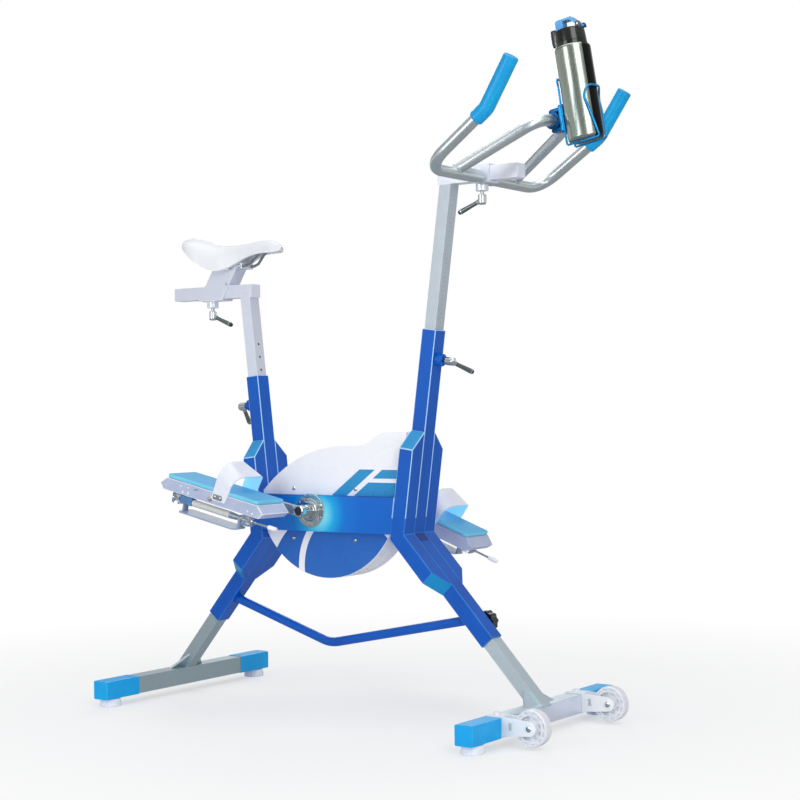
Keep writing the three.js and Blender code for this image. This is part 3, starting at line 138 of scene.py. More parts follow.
def smooth(obj, crease=55):
    """Smooth shading that still breaks at edges sharper than the crease angle."""
    obj.data.shade_smooth()
    obj.data.set_sharp_from_angle(angle=math.radians(crease))
    obj.modifiers.new("even shading", "WEIGHTED_NORMAL").keep_sharp = True
    return settle(obj)


def soften(obj, width, segments=2, angle=35, edge=-1):
    """Rounds the edges sharper than the angle by millimetres, maybe in a material of their own."""
    bevel = obj.modifiers.new("round edges", "BEVEL")
    bevel.material = edge
    bevel.width = width * mm
    bevel.segments = segments
    bevel.limit_method = "ANGLE"
    bevel.angle_limit = math.radians(angle)
    bevel.miter_outer = "MITER_ARC"
    settle(obj)
    return smooth(obj)


def carve(obj, tool):
    """Cuts one object out of another."""
    cut = obj.modifiers.new("cut", "BOOLEAN")
    cut.operation = "DIFFERENCE"
    cut.solver = "EXACT"
    cut.object = tool
    settle(obj)
    bpy.data.objects.remove(tool)
    return obj


def hollowed(obj, form, where=Matrix()):
    """Cuts a drawn form out of an object at a place."""
    return carve(obj, shown("hollow", form, where))


def painted(obj, *materials):
    """Adds materials to an object's list."""
    for material in materials:
        obj.data.materials.append(material)
    return obj


print("mesh tools ready")

# %% [markdown]
# ## Basic forms
# Three forms make most of the bike: a slab with a drawn outline, a turned piece, and a box. All
# are drawn with bmesh, so their corners stay exact. Turned profiles and boxes are written in
# millimetres. The outline of a slab is in metres, because many outlines come from the joints.

# %% Slabs, turned pieces and boxes


def slab(points, low, high, flat="xz"):
    """An outline in two directions, thick along the third one."""
    bm = bmesh.new()
    spread = {"xz": lambda a, b, c: (a, c, b), "xy": lambda a, b, c: (a, b, c),
              "yz": lambda a, b, c: (c, a, b)}[flat]
    rings = [[bm.verts.new(spread(a, b, c)) for a, b in points] for c in (low, high)]
    for ring in rings:
        bm.faces.new(ring)
    for i in range(len(points)):
        j = (i + 1) % len(points)
        bm.faces.new((rings[0][i], rings[0][j], rings[1][j], rings[1][i]))
    return bm


def circle(radius, count):
    """Points all round a circle."""
    turns = [2 * math.pi * i / count for i in range(count)]
    return [(radius * math.cos(t), radius * math.sin(t)) for t in turns]


def turned(profile, steps):
    """A profile of radius and height, turned about Z."""
    bm = bmesh.new()
    rings = [[bm.verts.new(point(x, y, height)) for x, y in circle(radius, steps if radius else 1)]
             for radius, height in profile]
    for low, high in zip(rings, rings[1:]):
        for i in range(steps if len(low) + len(high) > 2 else 0):
            j = (i + 1) % steps
            corners = [low[i % len(low)], low[j % len(low)], high[j % len(high)], high[i % len(high)]]
            bm.faces.new(list(dict.fromkeys(corners)))
    return bm


def rod(radius, low, high, steps=24):
    """A round bar between two heights."""
    return turned([(0, low), (radius, low), (radius, high), (0, high)], steps)


def block(low, high):
    """A box between two corners."""
    low, high = point(*low), point(*high)
    return slab([(low.x, low.z), (high.x, low.z), (high.x, high.z), (low.x, high.z)], low.y, high.y)


def arc(centre, radius, start, end, steps):
    """Points of a round stretch, with its angles in degrees."""
    turns = [math.radians(start + (end - start) * i / steps) for i in range(steps + 1)]
    return [(centre[0] + radius * math.cos(t), centre[1] + radius * math.sin(t)) for t in turns]


def rounded_box(width, height, corner, steps=4):
    """The outline of a box with round corners, from sizes in millimetres."""
    x, y = (width / 2 - corner) * mm, (height / 2 - corner) * mm
    points = []
    for cx, cy, start in ((x, y, 0), (-x, y, 90), (-x, -y, 180), (x, -y, 270)):
        points += arc((cx, cy), corner * mm, start, start + 90, steps)
    return points


def rounded(name, form, where, width, segments=2, angle=35):
    """A form at its place, with rounded edges."""
    return soften(shown(name, form, where), width, segments, angle)


def spun(name, profile, where=Matrix(), steps=28, crease=35):
    """A turned piece at its place, smooth but for its creases."""
    return smooth(shown(name, turned(profile, steps), where), crease)


print("basic forms ready")

# %% [markdown]
# ## Node trees in Python
# A material and a Geometry Nodes tree are both boards of nodes. One small class wraps a socket,
# so that sums are written as Python expressions, and one method makes any node from its type,
# its settings and what feeds its sockets.

# %% Boards of nodes


class Wire:
    """An output socket that takes part in sums."""

    def __init__(self, board, socket):
        self.board = board
        self.socket = socket

    def __add__(self, other):
        return self.board.sum("ADD", self, other)

    def __sub__(self, other):
        return self.board.sum("SUBTRACT", self, other)

    def __rsub__(self, other):
        return self.board.sum("SUBTRACT", other, self)

    def __mul__(self, other):
        return self.board.sum("MULTIPLY", self, other)

    def __truediv__(self, other):
        return self.board.sum("DIVIDE", self, other)

    def __lt__(self, other):
        return self.board.sum("LESS_THAN", self, other)

    def __gt__(self, other):
        return self.board.sum("GREATER_THAN", self, other)

    __radd__ = __add__
    __rmul__ = __mul__


class Board:
    """A node tree, for a material or for Geometry Nodes."""

    def __init__(self, tree):
        self.tree = tree

    def node(self, kind, settings=None, feeds=None, output=0):
        made = self.tree.nodes.new(kind)
        for name, value in (settings or {}).items():
            if name == "stops":
                self.stops(made.color_ramp, value)
            else:
                setattr(made, name, value)
        for key, value in (feeds or {}).items():
            self.feed(made.inputs[key], value)
        return Wire(self, made.outputs[output])

    def stops(self, ramp, stops):
        while len(ramp.elements) < len(stops):
            ramp.elements.new(1)
        for element, (position, color) in zip(ramp.elements, stops):
            element.position = position
            element.color = (*color, 1)

    def feed(self, socket, value):
        if isinstance(value, Wire):
            self.tree.links.new(value.socket, socket)
        elif socket.type == "RGBA" and len(value) == 3:
            socket.default_value = (*value, 1)
        else:
            socket.default_value = value

    def sum(self, operation, *values):
        return self.node("ShaderNodeMath", {"operation": operation}, dict(enumerate(values)))

    def limit(self, value):
        """A value that stays between 0 and 1."""
        return self.node("ShaderNodeClamp", feeds={0: value})


print("boards ready")

# %% [markdown]
# ## Finishes
# Every finish starts from the Principled shader. Object coordinates are metres on the bike
# itself, so a noise scale of 500 means grains of two millimetres, wherever the piece is. Colour
# values are written as they look on a screen and turned into the linear values of the shader.


def tone(red, green, blue):
    """A colour as seen on a screen, from 0 to 255, in linear values."""
    return tuple(((v / 255 + 0.055) / 1.055) ** 2.4 if v > 10 else v / 255 / 12.92
                 for v in (red, green, blue))


class Finish(Board):
    """A material that is built on the Principled shader."""

    def __init__(self, name, slot, **fixed):
        self.material = bpy.data.materials.new(name)
        self.material.use_nodes = True
        super().__init__(self.material.node_tree)
        self.shader = self.tree.nodes["Principled BSDF"]
        self.coords = self.node("ShaderNodeTexCoord", output=3)
        self.set(**fixed)

    def set(self, **values):
        for key, value in values.items():
            self.feed(self.shader.inputs[key.replace("_", " ")], value)
        return self.material

    def noise(self, scale, detail, coords=None):
        return self.node("ShaderNodeTexNoise", feeds={
            "Vector": coords or self.coords, "Scale": scale, "Detail": detail})

    def along(self, direction, origin=(0, 0, 0)):
        """How far a point lies along a direction from an origin."""
        from_origin = self.node("ShaderNodeVectorMath", {"operation": "SUBTRACT"},
                                {0: self.coords, 1: tuple(origin)})
        return self.node("ShaderNodeVectorMath", {"operation": "DOT_PRODUCT"},
                         {0: from_origin, 1: tuple(direction)}, output=1)

    def stretched(self, scales, turn=(0, 0, 0)):
        """Coordinates turned and then scaled along each axis, for brushed lines."""
        turned_coords = self.node("ShaderNodeMapping", {"vector_type": "TEXTURE"}, {
            "Vector": self.coords, "Rotation": turn})
        return self.node("ShaderNodeVectorMath", {"operation": "MULTIPLY"},
                         {0: turned_coords, 1: tuple(scales)})

    def mix(self, factor, first, second):
        mixed = self.tree.nodes.new("ShaderNodeMix")
        mixed.data_type = "RGBA"
        for socket, value in zip((mixed.inputs[0], mixed.inputs[6], mixed.inputs[7]),
                                 (factor, first, second)):
            self.feed(socket, value)
        return Wire(self, mixed.outputs[2])

    def higher(self, shade, above):
        """A shade that changes to another tone above a height, where one is given."""
        if not above:
            return shade
        height, color = above
        return self.mix(self.along(upward) > height, shade, tone(*color))

    def bump(self, height, distance, strength):
        normal = self.node("ShaderNodeBump", feeds={
            "Strength": strength, "Distance": distance, "Height": height})
        self.set(Normal=normal)


print("base of the finishes ready")

# %% [markdown]
# Sprayed and baked powder paint is glossy but not flat: it has an orange peel of about two
# millimetres. A paler blue on some rolled tube edges is painted highlight, and a darker blue on
# others is painted shade. Anodised aluminium is a soft metal with fine drawn lines along the
# tube. Both are a function, because several pieces share them.

# %% Paint and metal


def powder_paint(name, color, deeper, above=None):
    paint = Finish(name, "frame_blue", Coat_Roughness=0.08, Specular_IOR_Level=0.25)
    clouds = paint.noise(9, 2)
    peel = paint.noise(520, 2)
    specks = paint.limit((paint.noise(1500, 1) - 0.66) * 9)
    shade = paint.mix(paint.limit((clouds - 0.35) * 2.2), tone(*color), tone(*deeper))
    paint.bump(peel, 0.12 * mm, 0.5)
    return paint.set(Base_Color=paint.mix(specks * 0.12, paint.higher(shade, above),
                                          tone(210, 225, 245)),
                     Roughness=0.26 + clouds * 0.12, Coat_Weight=0.16 + clouds * 0.08)


def drawn_metal(name, color, darker, scales, rough, metal=1.0, above=None, depth=0.03,
                slot="satin_silver"):
    """Metal with fine lines along the direction whose scale is small, and two tones by height."""
    drawn = Finish(name, slot, Metallic=metal)
    lines = drawn.noise(1, 4, drawn.stretched(scales))
    clouds = drawn.noise(12, 3)
    drawn.bump(lines, depth * mm, 0.6)
    grain = drawn.limit(lines * 0.7 + clouds * 0.5 - 0.1)
    shade = drawn.mix(grain, tone(*darker), tone(*color))
    return drawn.set(Base_Color=drawn.higher(shade, above), Roughness=rough + (lines - 0.5) * 0.22)


frame_blue = powder_paint("frame_blue_paint", (0, 92, 194), (0, 80, 178))
facet_blue = powder_paint("facet_blue_paint", (10, 148, 210), (8, 138, 200))
# Pale blue on the rolled edges of the frame tubes, near white above a height of 447 mm: painted
# highlight
highlight_blue = powder_paint("rolled_edge_paint", (44, 128, 214), (30, 110, 200),
                         (0.447, (176, 214, 250)))
# Dark blue on the rolled edges of the side rails and on the knee step: painted shade
shade_blue = powder_paint("deep_blue_paint", (0, 58, 142), (0, 48, 124))
anodised = drawn_metal("anodised_tube", (192, 209, 214), (168, 186, 194), (500, 500, 60), 0.34, 0.7)
pale_metal = drawn_metal("pale_rail_tube", (238, 242, 255), (222, 228, 244), (60, 500, 500), 0.34,
                         0.5)
# Near white on the rolled edges of the metal tubes: painted highlight
highlight_metal_edge = drawn_metal("bright_metal_edge", (252, 253, 255), (240, 244, 252), (300, 300, 300),
                         0.3, 0.2)
anodised_bar = drawn_metal("anodised_bar", (222, 230, 232), (200, 209, 212), (420, 420, 420), 0.33,
                           0.92)
chrome = drawn_metal("polished_chrome", (236, 240, 240), (190, 200, 204), (160, 160, 160), 0.08,
                     depth=0.004, slot="chrome")
bright_wire = drawn_metal("bright_wire", (196, 200, 205), (150, 155, 162), (80, 600, 600), 0.2,
                          slot="wire_steel")
cage_paint = drawn_metal("cage_metallic_blue", (40, 172, 232), (10, 104, 180), (60, 60, 60), 0.22,
                         0.75, slot="cage_blue")
clamp_paint = drawn_metal("clamp_dark_blue", (16, 110, 176), (6, 56, 116), (60, 60, 60), 0.2, 0.7,
                          slot="cage_blue")
print("metals and paints ready")

# %% [markdown]
# Plastics differ in gloss, in how much light enters them and in the grain of their mould. A
# sparked mould leaves fine pits, foam has round cells, rubber is dull with a trace of dust.

# %% Plastics, foam and rubber


def moulded(name, slot, color, shaded, grain=900, depth=0.05, rough=0.4, coat=0.0, haze=0.0,
            **fixed):
    """Plastic from a mould: a little uneven in tone, with a fine grain."""
    plastic = Finish(name, slot, Coat_Roughness=0.1, Subsurface_Weight=haze, **fixed)
    plastic.shader.inputs["Subsurface Scale"].default_value = 4 * mm
    flow = plastic.noise(14, 3)
    pits = plastic.noise(grain, 3)
    plastic.bump(pits, depth * mm, 0.6)
    shade = plastic.mix(plastic.limit((flow - 0.3) * 2), tone(*color), tone(*shaded))
    return plastic.set(Base_Color=shade, Roughness=rough + (pits - 0.5) * 0.2,
                       Coat_Weight=coat + flow * 0.05)


sky_plastic = moulded("sky_blue_plastic", "sky_blue", (0, 178, 244), (0, 160, 234), rough=0.36,
                      coat=0.1, Specular_IOR_Level=0.3)
# Light cyan on the rolled edges of the foot caps: painted highlight
cap_highlight_edge = moulded("cap_lit_edge", "sky_blue", (110, 212, 255), (86, 200, 250), rough=0.3)
grip_rubber = moulded("grip_soft_rubber", "grip_blue", (0, 164, 222), (0, 150, 214), grain=1600,
                      depth=0.03, rough=0.36, Specular_IOR_Level=0.35)
pedal_plastic = moulded("pedal_grey_plastic", "pedal_grey", (190, 200, 224), (168, 178, 212),
                        rough=0.28, coat=0.2, haze=0.1)
strap_plastic = moulded("strap_white_plastic", "strap_white", (240, 241, 250), (226, 232, 246),
                        grain=500, rough=0.3, haze=0.25)
flap_plastic = moulded("flap_clear_plastic", "flap_clear", (160, 178, 202), (142, 160, 190),
                       rough=0.3, Alpha=0.85, Specular_IOR_Level=0.2)
white_rubber = moulded("white_rubber", "foot_rubber", (248, 249, 254), (236, 238, 246), grain=700,
                       depth=0.12, rough=0.62)
black_plastic = moulded("black_plastic", "lever_black", (34, 36, 42), (24, 26, 30), depth=0.06,
                        rough=0.36)
gloss_black = moulded("gloss_black_plastic", "lid_black", (18, 22, 22), (10, 12, 12), depth=0.02,
                      rough=0.2, coat=0.4)
flip_plastic = moulded("flip_blue_plastic", "flip_blue", (84, 172, 232), (66, 156, 222), rough=0.28,
                       coat=0.2)
wheel_plastic = moulded("wheel_clear_plastic", "wheel_clear", (240, 242, 248), (224, 228, 236),
                        rough=0.3, coat=0.25, haze=0.1)
bush_plastic = moulded("bush_plastic", "bearing_plastic", (216, 210, 196), (200, 194, 180),
                       rough=0.5)
rotor_plastic = moulded("rotor_white_plastic", "rotor_white", (220, 224, 230), (204, 210, 218))
print("plastics ready")

# %% [markdown]
# ## Camera, floor and light
# The photograph was taken from the right and ahead of the bike, from seat height and nearly
# level. The three directions of that camera are written out, and a long lens gives the
# photograph's flat perspective. The floor is a pale disc that keeps the shadow, and the lamps
# are large, so that the tubes show long soft highlights.

# %% The camera
camera_right = Vector((0.81516, 0.57914, -0.01047))
camera_up = Vector((0.01086, 0.00279, 0.99994))
camera_place = Vector((2.26129, -3.07319, 0.69335))
lens_pixels = 1679.21
image_pixels = 800
camera = bpy.data.cameras.new("photograph")
camera.sensor_width = 36
camera.lens = lens_pixels / image_pixels * camera.sensor_width
camera_object = added("photograph", camera)
camera_object.matrix_world = place(camera_place, camera_right.normalized(), camera_up.normalized())
bpy.context.scene.camera = camera_object
bpy.context.scene.view_settings.view_transform = "Standard"
print("camera ready")

# %% The floor


def light_rays(board):
    """Whether a ray comes from the camera, from a shiny face or through a clear one."""
    return [board.node("ShaderNodeLightPath", output=i) for i in (0, 3, 6)]


def light_of(board, kind, color, strength=1.0):
    return board.node("ShaderNode" + kind, feeds={"Color": color, "Strength": strength})


def between(board, share, first, second):
    return board.node("ShaderNodeMixShader", feeds={0: share, 1: first, 2: second})


def stage_floor():
    floor = added("studio_floor", bpy.data.meshes.new("studio_floor"))
    bm = bmesh.new()
    bmesh.ops.create_circle(bm, cap_ends=True, segments=64, radius=9)
    bm.to_mesh(floor.data)
    bm.free()
    material = bpy.data.materials.new("studio_floor")
    material.use_nodes = True
    board = Board(material.node_tree)
    board.tree.nodes.remove(board.tree.nodes["Principled BSDF"])
    seen, shiny, through = light_rays(board)
    matte = board.node("ShaderNodeBsdfDiffuse", feeds={"Color": (0.9, 0.9, 0.9)})
    spot = board.node("ShaderNodeTexCoord", output=3)
    away = board.node("ShaderNodeVectorMath", {"operation": "LENGTH"}, {0: spot}, output=1)
    fade = board.limit((away - 0.5) / 1.4)
    share = board.sum("MAXIMUM", seen * (0.5 + fade * 0.5), through)
    surface = between(board, share, matte, light_of(board, "Emission", (1, 1, 1)))
    surface = between(board, shiny, surface, light_of(board, "Emission", (0.92, 0.96, 1), 0.36))
    board.feed(board.tree.nodes["Material Output"].inputs["Surface"], surface)
    painted(floor, material)


stage_floor()
print("floor ready")

# %% The white surroundings and the lamps


def surroundings(strength):
    """A dim world that lights the bike, white for the camera, and a studio for reflections."""
    world = bpy.data.worlds.new("studio")
    world.use_nodes = True
    board = Board(world.node_tree)
    seen, shiny, through = light_rays(board)
    way = board.node("ShaderNodeTexCoord")
    height = board.node("ShaderNodeVectorMath", {"operation": "DOT_PRODUCT"},
                        {0: way, 1: (0, 0, 1)}, output=1)
    walls = board.node("ShaderNodeValToRGB", {"stops": [
        (0.0, (0.8, 0.8, 0.8)), (0.1, (0.66, 0.66, 0.66)), (0.25, (0.22, 0.22, 0.23)),
        (0.5, (0.42, 0.42, 0.43)), (0.8, (0.9, 0.9, 0.91))]}, {0: height})
    mirrored = between(board, shiny, light_of(board, "Background", (0.95, 0.97, 1), strength),
                       light_of(board, "Background", walls))
    mixed = between(board, board.sum("MAXIMUM", seen, through), mirrored,
                    light_of(board, "Background", (1, 1, 1)))
    board.feed(world.node_tree.nodes["World Output"].inputs["Surface"], mixed)
    bpy.context.scene.world = world


def lamp(name, spot, size, power):
    """A large lamp that looks at the middle of the bike."""
    light = bpy.data.lights.new(name, "AREA")
    light.shape = "RECTANGLE"
    light.size, light.size_y = size
    light.energy = power
    back = (Vector(spot) - Vector((0, 0, 0.7))).normalized()
    added(name, light).matrix_world = place(Vector(spot), x=upward.cross(back).normalized(), z=back)


surroundings(0.42)
lamp("key", (2.6, -1.6, 2.6), (1.6, 2.2), 34)
lamp("strip", (2.6, -1.85, 0.9), (0.5, 2.0), 10)
lamp("side", (-0.6, -3.4, 1.4), (1.4, 2.4), 34)
lamp("top", (0, 0.2, 3.4), (2.4, 1.6), 24)
lamp("back", (-1.8, 2.6, 2.0), (1.6, 1.6), 22)
print("surroundings and lamps ready")

# %% [markdown]
# ## Dressing a piece
# A finished piece takes one material, rides on a moving body, and may stand for one or more of
# the plain solids.

# %% Dress


def dress(obj, material, body, *replaced):
    """Gives a piece its material, its body and the solids that it stands for."""
    if not obj.data.materials:
        painted(obj, material)
    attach(obj, body)
    if replaced:
        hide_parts(*replaced)
    return obj


def cover(node, material):
    """Gives a CAD solid a better material and leaves its shape alone."""
    nodes[node].data.materials.clear()
    painted(nodes[node], material)


def eased(node, width, material, body, segments=2, edge=None):
    """Stands for a solid whose shape is right, with rounded edges, which may have their own paint."""
    bm = bmesh.new()
    bm.from_mesh(nodes[node].data)
    bmesh.ops.remove_doubles(bm, verts=bm.verts, dist=1e-6)
    bmesh.ops.dissolve_limit(bm, angle_limit=math.radians(0.6), verts=bm.verts, edges=bm.edges)
    obj = shown(node + "_eased", bm)
    if edge:
        painted(obj, material, edge)
    return dress(soften(obj, width, segments, edge=1 if edge else -1), material, body, node)


# %% [markdown]
# ## Trees that repeat and follow
# Geometry Nodes make what follows a path or repeats. The first tree turns a drawn line into a
# round tube, with its radius and number of sides as inputs. The second lays weld ripples along
# a line. The third puts a copy of a small part, such as a screw, on every point of a guide and
# turns it to the direction that the guide stores. All end in plain faces with a material.

# %% A tree with named inputs


class Recipe(Board):
    """A Geometry Nodes tree with named inputs."""

    def __init__(self, name, sockets):
        super().__init__(bpy.data.node_groups.new(name, "GeometryNodeTree"))
        self.socket("Geometry", "Geometry", "OUTPUT")
        self.socket("Geometry", "Geometry")
        for label, kind in sockets.items():
            self.socket(label, kind)
        self.socket("Material", "Material")
        self.group = self.tree.nodes.new("NodeGroupInput")

    def socket(self, label, kind, way="INPUT"):
        self.tree.interface.new_socket(label, in_out=way, socket_type="NodeSocket" + kind)

    def given(self, label):
        return Wire(self, self.group.outputs[label])

    def end(self, geometry):
        solid = self.node("GeometryNodeRealizeInstances", feeds={0: geometry})
        finished = self.node("GeometryNodeSetMaterial", feeds={
            "Geometry": solid, "Material": self.given("Material")})
        out = self.tree.nodes.new("NodeGroupOutput")
        self.feed(out.inputs[0], finished)
        return self

    def use(self, obj, material, **values):
        """Runs the tree on an object and keeps the result as a plain mesh."""
        modifier = obj.modifiers.new(self.tree.name, "NODES")
        modifier.node_group = self.tree
        names = {item.name: item.identifier for item in self.tree.interface.items_tree
                 if item.in_out == "INPUT"}
        modifier[names["Material"]] = material
        for label, value in values.items():
            modifier[names[label]] = value
        settle(obj)
        return obj if obj.data.materials else painted(obj, material)


print("recipes ready")

# %% The three trees


def tube_recipe():
    recipe = Recipe("tube along a line", {"Radius": "Float", "Sides": "Int"})
    line = recipe.node("GeometryNodeMeshToCurve", feeds={0: recipe.given("Geometry")})
    ring = recipe.node("GeometryNodeCurvePrimitiveCircle", feeds={
        "Resolution": recipe.given("Sides"), "Radius": recipe.given("Radius")})
    return recipe.end(recipe.node("GeometryNodeCurveToMesh", feeds={
        "Curve": line, "Profile Curve": ring, "Fill Caps": True}))


def weld_recipe():
    recipe = Recipe("weld ripples along a line", {"Radius": "Float", "Pitch": "Float"})
    line = recipe.node("GeometryNodeMeshToCurve", feeds={0: recipe.given("Geometry")})
    points = recipe.node("GeometryNodeCurveToPoints", {"mode": "LENGTH"}, {
        "Curve": line, "Length": recipe.given("Pitch")})
    turn = points.socket.node.outputs["Rotation"]
    drop = recipe.node("GeometryNodeMeshUVSphere", feeds={
        "Segments": 8, "Rings": 5, "Radius": recipe.given("Radius")})
    return recipe.end(recipe.node("GeometryNodeInstanceOnPoints", feeds={
        "Points": points, "Instance": drop, "Rotation": Wire(recipe, turn),
        "Scale": (1.0, 1.0, 0.62)}))


def repeat_recipe():
    recipe = Recipe("copies on guide points", {"Part": "Object"})
    part = recipe.node("GeometryNodeObjectInfo", feeds={0: recipe.given("Part")}, output=4)
    aim, side = [recipe.node("GeometryNodeInputNamedAttribute", {"data_type": "FLOAT_VECTOR"},
                             {"Name": name}) for name in ("aim", "side")]
    facing = recipe.node("FunctionNodeAlignRotationToVector", {"axis": "Z"}, {"Vector": aim})
    turn = recipe.node("FunctionNodeAlignRotationToVector", {"axis": "X", "pivot_axis": "Z"},
                       {"Rotation": facing, "Vector": side})
    points = recipe.node("GeometryNodeMeshToPoints", feeds={0: recipe.given("Geometry")})
    return recipe.end(recipe.node("GeometryNodeInstanceOnPoints", feeds={
        "Points": points, "Instance": part, "Rotation": turn}))


tube_tree, weld_tree, repeat_tree = tube_recipe(), weld_recipe(), repeat_recipe()
print("trees:", ", ".join(made.tree.name for made in (tube_tree, weld_tree, repeat_tree)))

# %% Putting the trees to use


def guide(name, points, edges=()):
    """Bare points, joined by bare edges if there are any, for a tree to follow."""
    mesh = bpy.data.meshes.new(name)
    mesh.from_pydata([tuple(p) for p in points], edges, [])
    return added(name, mesh)


def tube(name, points, radius, material, sides):
    """A round tube along points."""
    line = guide(name, points, [(i, i + 1) for i in range(len(points) - 1)])
    return smooth(tube_tree.use(line, material, Radius=radius, Sides=sides))


def weld(name, points, body, radius, closed=True, material=frame_blue):
    """A weld bead along points, with its radius in millimetres."""
    count = len(points)
    line = guide(name, points, [(i, (i + 1) % count) for i in range(count if closed else count - 1)])
    weld_tree.use(line, material, Radius=radius * mm, Pitch=radius * mm * 0.9)
    line.data.shade_smooth()
    dress(line, material, body)


def copies(name, part, spots, material=frame_blue):
    """Copies of a part at spots, each a point, the way it faces and the way of its X side."""
    obj = guide(name, [spot[0] for spot in spots])
    for key, column in (("aim", 1), ("side", 2)):
        stored = obj.data.attributes.new(key, "FLOAT_VECTOR", "POINT")
        stored.data.foreach_set("vector", [v for spot in spots for v in spot[column]])
    repeat_tree.use(obj, material, Part=part)
    bpy.data.objects.remove(part)
    return obj


def repeated(name, part, spots, material, body):
    dress(copies(name, part, spots, material), material, body)


print("tubes, welds and copies ready")

# %% [markdown]
# A bent tube has straight runs and a round stretch at each corner. This is the same rule that
# the frame's own bars follow, only with many more steps, so that the bars look drawn and bent
# rather than folded.

# %% Bent routes and screw heads


def bent(corners, radii, steps):
    """Points along straight runs, with a quadratic bend at each inner corner."""
    points = [corners[0]]
    for i, radius in enumerate(radii, start=1):
        back = (corners[i - 1] - corners[i]).normalized()
        ahead = (corners[i + 1] - corners[i]).normalized()
        reach = radius / math.tan(back.angle(ahead) / 2)
        start, end = corners[i] + back * reach, corners[i] + ahead * reach
        for k in range(steps + 1):
            t = k / steps
            points.append(start * (1 - t) ** 2 + corners[i] * 2 * t * (1 - t) + end * t ** 2)
    return points + [corners[-1]]


def button_head(radius, height):
    """A small round screw head with a six-sided recess, facing +Z."""
    profile = [(0, 0), (radius, 0), (radius, height * 0.3), (radius * 0.82, height * 0.8),
               (radius * 0.6, height), (0, height)]
    head = shown("screw_head", turned(profile, 18))
    hexagon = [(x * mm, y * mm) for x, y in circle(radius * 0.45, 6)]
    hollowed(head, slab(hexagon, height * 0.45 * mm, height * 2 * mm, "xy"))
    return smooth(head, 35)


print("bends and screw heads ready")

# %% [markdown]
# ## The welded frame
# Each end of the frame is a bent square tube with a shorter tube on either side of its knee, and
# the slanted ends of those are painted a lighter blue. A solid copy would lose the two grooves
# where the tubes meet. So each tube is drawn by itself from the mitred outline of a knee, with
# its own rolled edges, and the grooves come by themselves. Their thin highlights are painted: the
# rolled edges take a pale blue that turns near white higher up.

# %% Knee tubes
tube_half_depth = 18 * mm
tube_half_width = 20 * mm
frame_half_width = 60 * mm
sleeve_wall = 3.2 * mm
bevel_length = 40 * mm


def knee_outline(up, down, up_length, down_length, half):
    """The side view of a tube that bends at the origin, mitred."""
    up, down = Vector((up.x, up.z)), Vector((down.x, down.z))
    up_side = Vector((up.y, -up.x)) * half
    down_side = Vector((-down.y, down.x)) * half
    mitre = (up_side + down_side) / (1 + up_side.dot(down_side) / half ** 2)
    up_end, down_end = up * up_length, down * down_length
    return [tuple(p) for p in (down_end + down_side, mitre, up_end + up_side,
                               up_end - up_side, -mitre, down_end - down_side)]


def trimmed(obj, spot, normal):
    """Cuts an object off past a plane and closes the cut with a face in its second paint."""
    bm = bmesh.new()
    bm.from_mesh(obj.data)
    cut = bmesh.ops.bisect_plane(bm, geom=bm.verts[:] + bm.edges[:] + bm.faces[:], dist=1e-6,
                                 plane_co=spot, plane_no=normal, clear_outer=True)
    edges = [e for e in cut["geom_cut"] if isinstance(e, bmesh.types.BMEdge)]
    for face in bmesh.ops.contextual_create(bm, geom=edges)["faces"]:
        face.material_index = 1
    bmesh.ops.recalc_face_normals(bm, faces=bm.faces)
    bm.to_mesh(obj.data)
    bm.free()


def side_tube(name, knee, up, down, box_up, box_down, sign):
    """The tube beside the knee, with its two slanted ends in the lighter blue."""
    ends = [box_up + bevel_length, box_down + bevel_length]
    low, high = sorted((sign * (tube_half_width + 0.1 * mm), sign * frame_half_width))
    bm = slab(knee_outline(up, down, *ends, tube_half_depth), low, high)
    obj = painted(shown(name, bm, Matrix.Translation(knee)), frame_blue, facet_blue, highlight_blue)
    for direction, length in ((up, box_up), (down, box_down)):
        slope = direction * (frame_half_width - tube_half_width) + sideways * sign * bevel_length
        corner = knee + direction * length + sideways * sign * frame_half_width
        trimmed(obj, corner, slope.normalized())
    # The rolled edges take the pale blue of the painted highlight
    dress(soften(obj, 1.6, 3, edge=2), frame_blue, "frame")


def middle_tube(name, knee, up, down, up_length, down_length, boss_spot, boss_aim, node):
    """The long bent tube, bored for the post and the leg, with the boss of its lever."""
    bm = slab(knee_outline(up, down, up_length, down_length, tube_half_depth),
              -tube_half_width, tube_half_width)
    obj = painted(shown(name, bm, Matrix.Translation(knee)), frame_blue, highlight_blue)
    # The rolled edges take the pale blue of the painted highlight
    soften(obj, 1.6, 3, edge=1)
    over = 6 * mm
    bore = slab(knee_outline(up, down, up_length + over, down_length + over,
                             tube_half_depth - sleeve_wall),
                sleeve_wall - tube_half_width, tube_half_width - sleeve_wall)
    hollowed(obj, bore, Matrix.Translation(knee))
    boss = place(boss_spot, y=sideways, z=boss_aim)
    hollowed(obj, rod(4.3, -20, 30), boss)
    dress(smooth(obj), frame_blue, "frame", node)
    profile = [(4.3, 0.1), (14, 0.1), (14, 14.6), (12.6, 16), (5.4, 16), (4.3, 15), (4.3, 0.1)]
    dress(spun(name + "_boss", profile, boss, 40, 40), frame_blue, "frame")
    weld(name + "_boss_weld", [boss @ point(x, y, 0.6) for x, y in circle(14.4, 24)], "frame", 1.3)


print("knee tubes ready")

